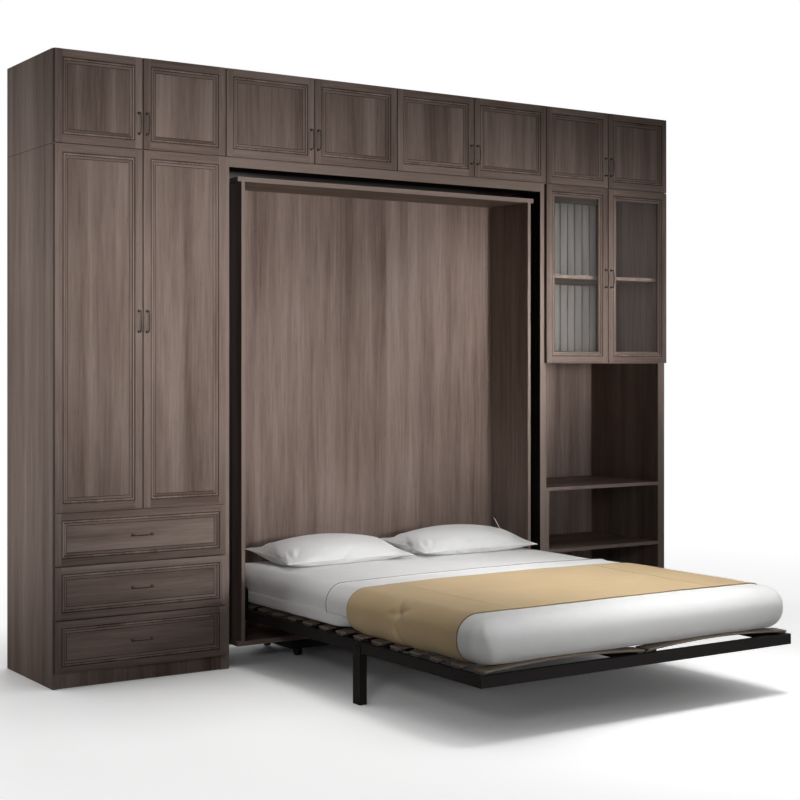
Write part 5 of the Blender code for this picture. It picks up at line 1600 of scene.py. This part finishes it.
class WALLBED_OT_pillows(bpy.types.Operator):
    """Sew two pillows, swell them and lay them on the mattress"""

    bl_idname = "wallbed.pillows"
    bl_label = "Pillows"

    def execute(self, context):
        bedding = context.scene.wall_bed.bedding
        for word in ("left", "right"):
            node = "pillow_" + word
            low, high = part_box(node)
            low += Vector((PILLOW_INSETS[word][0], PILLOW_FRONT_INSET, 0))
            high.x -= PILLOW_INSETS[word][1]
            shape, pairs = self.sewn(high - low, PILLOW_SEEDS[word])
            self.swell(context, shape, bedding)
            self.slacken(shape)
            self.settle(shape, low, high)
            self.pipe(shape, pairs)
            piece = add_piece(node + "_filled", shape, "bed", (white_cotton(),), (node,), 75)
            soften(piece)
            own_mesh(piece)
        return {"FINISHED"}

    def sewn(self, size, seed):
        """Flat case of two layers joined round their rim, and the pairs of points along the seam."""
        shape = bmesh.new()
        top = bmesh.ops.create_grid(shape, x_segments=CASE_NET[0], y_segments=CASE_NET[1], size=0.5)["verts"]
        wide, deep = CASE_SLACK_SHARES
        bmesh.ops.scale(shape, vec=(size.x * wide, size.y * deep, 1), verts=shape.verts)
        for vert in top:
            spot = Vector((vert.co.x * 7 + seed, vert.co.y * 7, seed))
            vert.co.z = CASE_RIPPLE * noise.noise(spot)
        made = bmesh.ops.duplicate(shape, geom=shape.verts[:] + shape.edges[:] + shape.faces[:])
        under = [g for g in made["geom"] if isinstance(g, bmesh.types.BMVert)]
        bmesh.ops.translate(shape, vec=(0, 0, -CASE_GAP), verts=under)
        rim = [v for v in top if v.is_boundary]
        rim.sort(key=lambda v: math.atan2(v.co.y * size.x, v.co.x * size.y))
        pairs = [(vert, made["vert_map"][vert]) for vert in rim]
        bmesh.ops.bridge_loops(shape, edges=[e for e in shape.edges if e.is_boundary])
        bmesh.ops.recalc_face_normals(shape, faces=shape.faces)
        map_faces(shape, shape.faces, lambda vert: vert.co.xy)
        return shape, pairs

    def swell(self, context, shape, bedding):
        """Blow the case up with a cloth simulation, with a cap on how far each point moves."""
        shape.verts.index_update()
        case = mesh_object("case", shape)
        cloth = case.modifiers.new("cloth", "CLOTH")
        cloth.point_cache.frame_end = bedding.pillow_frames
        for name, value in CASE_CLOTH.items():
            setattr(cloth.settings, name, value)
        cloth.settings.uniform_pressure_force = bedding.pillow_pressure
        cloth.settings.effector_weights.gravity = 0
        for step in range(1, bedding.pillow_frames + 1):
            context.scene.frame_set(step)
        evaluated = case.evaluated_get(context.evaluated_depsgraph_get())
        for vert, swollen in zip(shape.verts, evaluated.data.vertices):
            move = swollen.co - vert.co
            vert.co += move * min(1, bedding.pillow_move / max(move.length, MERGE_DISTANCE))
        context.scene.frame_set(1)
        bpy.data.objects.remove(case, do_unlink=True)

    def swell_plainly(self, shape):
        half_x = max(v.co.x for v in shape.verts)
        half_y = max(v.co.y for v in shape.verts)
        shape.normal_update()
        for vert in shape.verts:
            u = vert.co.x / half_x
            v = vert.co.y / half_y
            rise = (max(0, 1 - u * u) * max(0, 1 - v * v)) ** 0.5
            vert.co.z += math.copysign(PLAIN_RISE * rise, vert.normal.z)
            vert.co.x *= 1 - 0.035 * (1 - v * v)
            vert.co.y *= 1 - 0.06 * (1 - u * u)

    def slacken(self, shape):
        """Draw the full case down towards its rim and corners, and crease it at its corners."""
        half_x = max(abs(v.co.x) for v in shape.verts)
        half_y = max(abs(v.co.y) for v in shape.verts)
        for vert in shape.verts:
            across = min(1, abs(vert.co.x) / half_x)
            along = min(1, abs(vert.co.y) / half_y)
            slack = (1 - across ** 4) * (1 - along ** 3)
            full = ((1 - across ** 5) * (1 - along ** 5)) ** 0.6
            vert.co.z *= (slack + PILLOW_RIM_SHARE) / (full + PILLOW_RIM_SHARE)
            if vert.co.z < 2 * HAIR:
                continue
            corner = Vector((half_x - abs(vert.co.x), half_y - abs(vert.co.y)))
            for fold in PILLOW_CREASES:
                vert.co.z += crease(corner, *fold)

    def settle(self, shape, low, high):
        """Fit the pillow to its place: its seam rises to the back and its underside rests flat."""
        lowest = Vector([min(v.co[axis] for v in shape.verts) for axis in range(3)])
        highest = Vector([max(v.co[axis] for v in shape.verts) for axis in range(3)])
        size = highest - lowest
        want = high - low
        heights = {}
        for vert in shape.verts:
            back = (vert.co.y - lowest.y) / size.y
            seam = PILLOW_FRONT_SHARE + (PILLOW_BACK_SHARE - PILLOW_FRONT_SHARE) * back
            if vert.co.z > 0:
                heights[vert] = seam + PILLOW_RISE_SHARE * vert.co.z / highest.z
            else:
                heights[vert] = max(0, seam - PILLOW_SAG_SHARE * vert.co.z / lowest.z)
        top = max(heights.values())
        for vert in shape.verts:
            across = (vert.co.x - lowest.x) / size.x
            back = (vert.co.y - lowest.y) / size.y
            vert.co = low + Vector((want.x * across, want.y * back, want.z * heights[vert] / top))

    def pipe(self, shape, pairs):
        """Sew a thin piping round the seam, in the pillow's own mesh."""
        route = [(upper.co + lower.co) / 2 for upper, lower in pairs]
        before = set(shape.faces)
        add_tube(shape, route, [PILLOW_PIPING_RADIUS] * len(route), UP, closed=True, sides=CORD_SIDES)
        made = [face for face in shape.faces if face not in before]
        bmesh.ops.recalc_face_normals(shape, faces=made)
        map_faces(shape, made, lambda vert: vert.co.xy)


class WALLBED_PT_panel(bpy.types.Panel):
    """Lists the settings and the steps that dress the bed"""

    bl_label = "Rotating wall bed"
    bl_idname = "WALLBED_PT_panel"
    bl_space_type = "VIEW_3D"
    bl_region_type = "UI"
    bl_category = "Wall bed"

    def draw(self, context):
        settings = context.scene.wall_bed
        for name in ("timber", "fronts", "slats", "bedding", "stage"):
            group = getattr(settings, name)
            box = self.layout.box()
            box.label(text=name.capitalize())
            for key in group.bl_rna.properties.keys():
                if key not in ("rna_type", "name"):
                    box.prop(group, key)
        for operator in OPERATORS:
            self.layout.operator(operator.bl_idname)


GROUPS = (WallBedTimber, WallBedFronts, WallBedSlats, WallBedBedding, WallBedStage, WallBedSettings)
OPERATORS = (
    WALLBED_OT_stage, WALLBED_OT_carcass, WALLBED_OT_fronts, WALLBED_OT_handles, WALLBED_OT_lining,
    WALLBED_OT_slats, WALLBED_OT_mattress, WALLBED_OT_covers, WALLBED_OT_pillows,
)


def register():
    """Register the classes and hang the settings on the scene."""
    for item in GROUPS + OPERATORS + (WALLBED_PT_panel,):
        bpy.utils.register_class(item)
    bpy.types.Scene.wall_bed = PointerProperty(type=WallBedSettings)


def unregister():
    """Take the settings and the classes away again."""
    del bpy.types.Scene.wall_bed
    for item in reversed(GROUPS + OPERATORS + (WALLBED_PT_panel,)):
        bpy.utils.unregister_class(item)


def main():
    """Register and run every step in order."""
    register()
    for operator in OPERATORS:
        getattr(bpy.ops.wallbed, operator.bl_idname.partition(".")[2])()


if __name__ == "__main__":
    main()
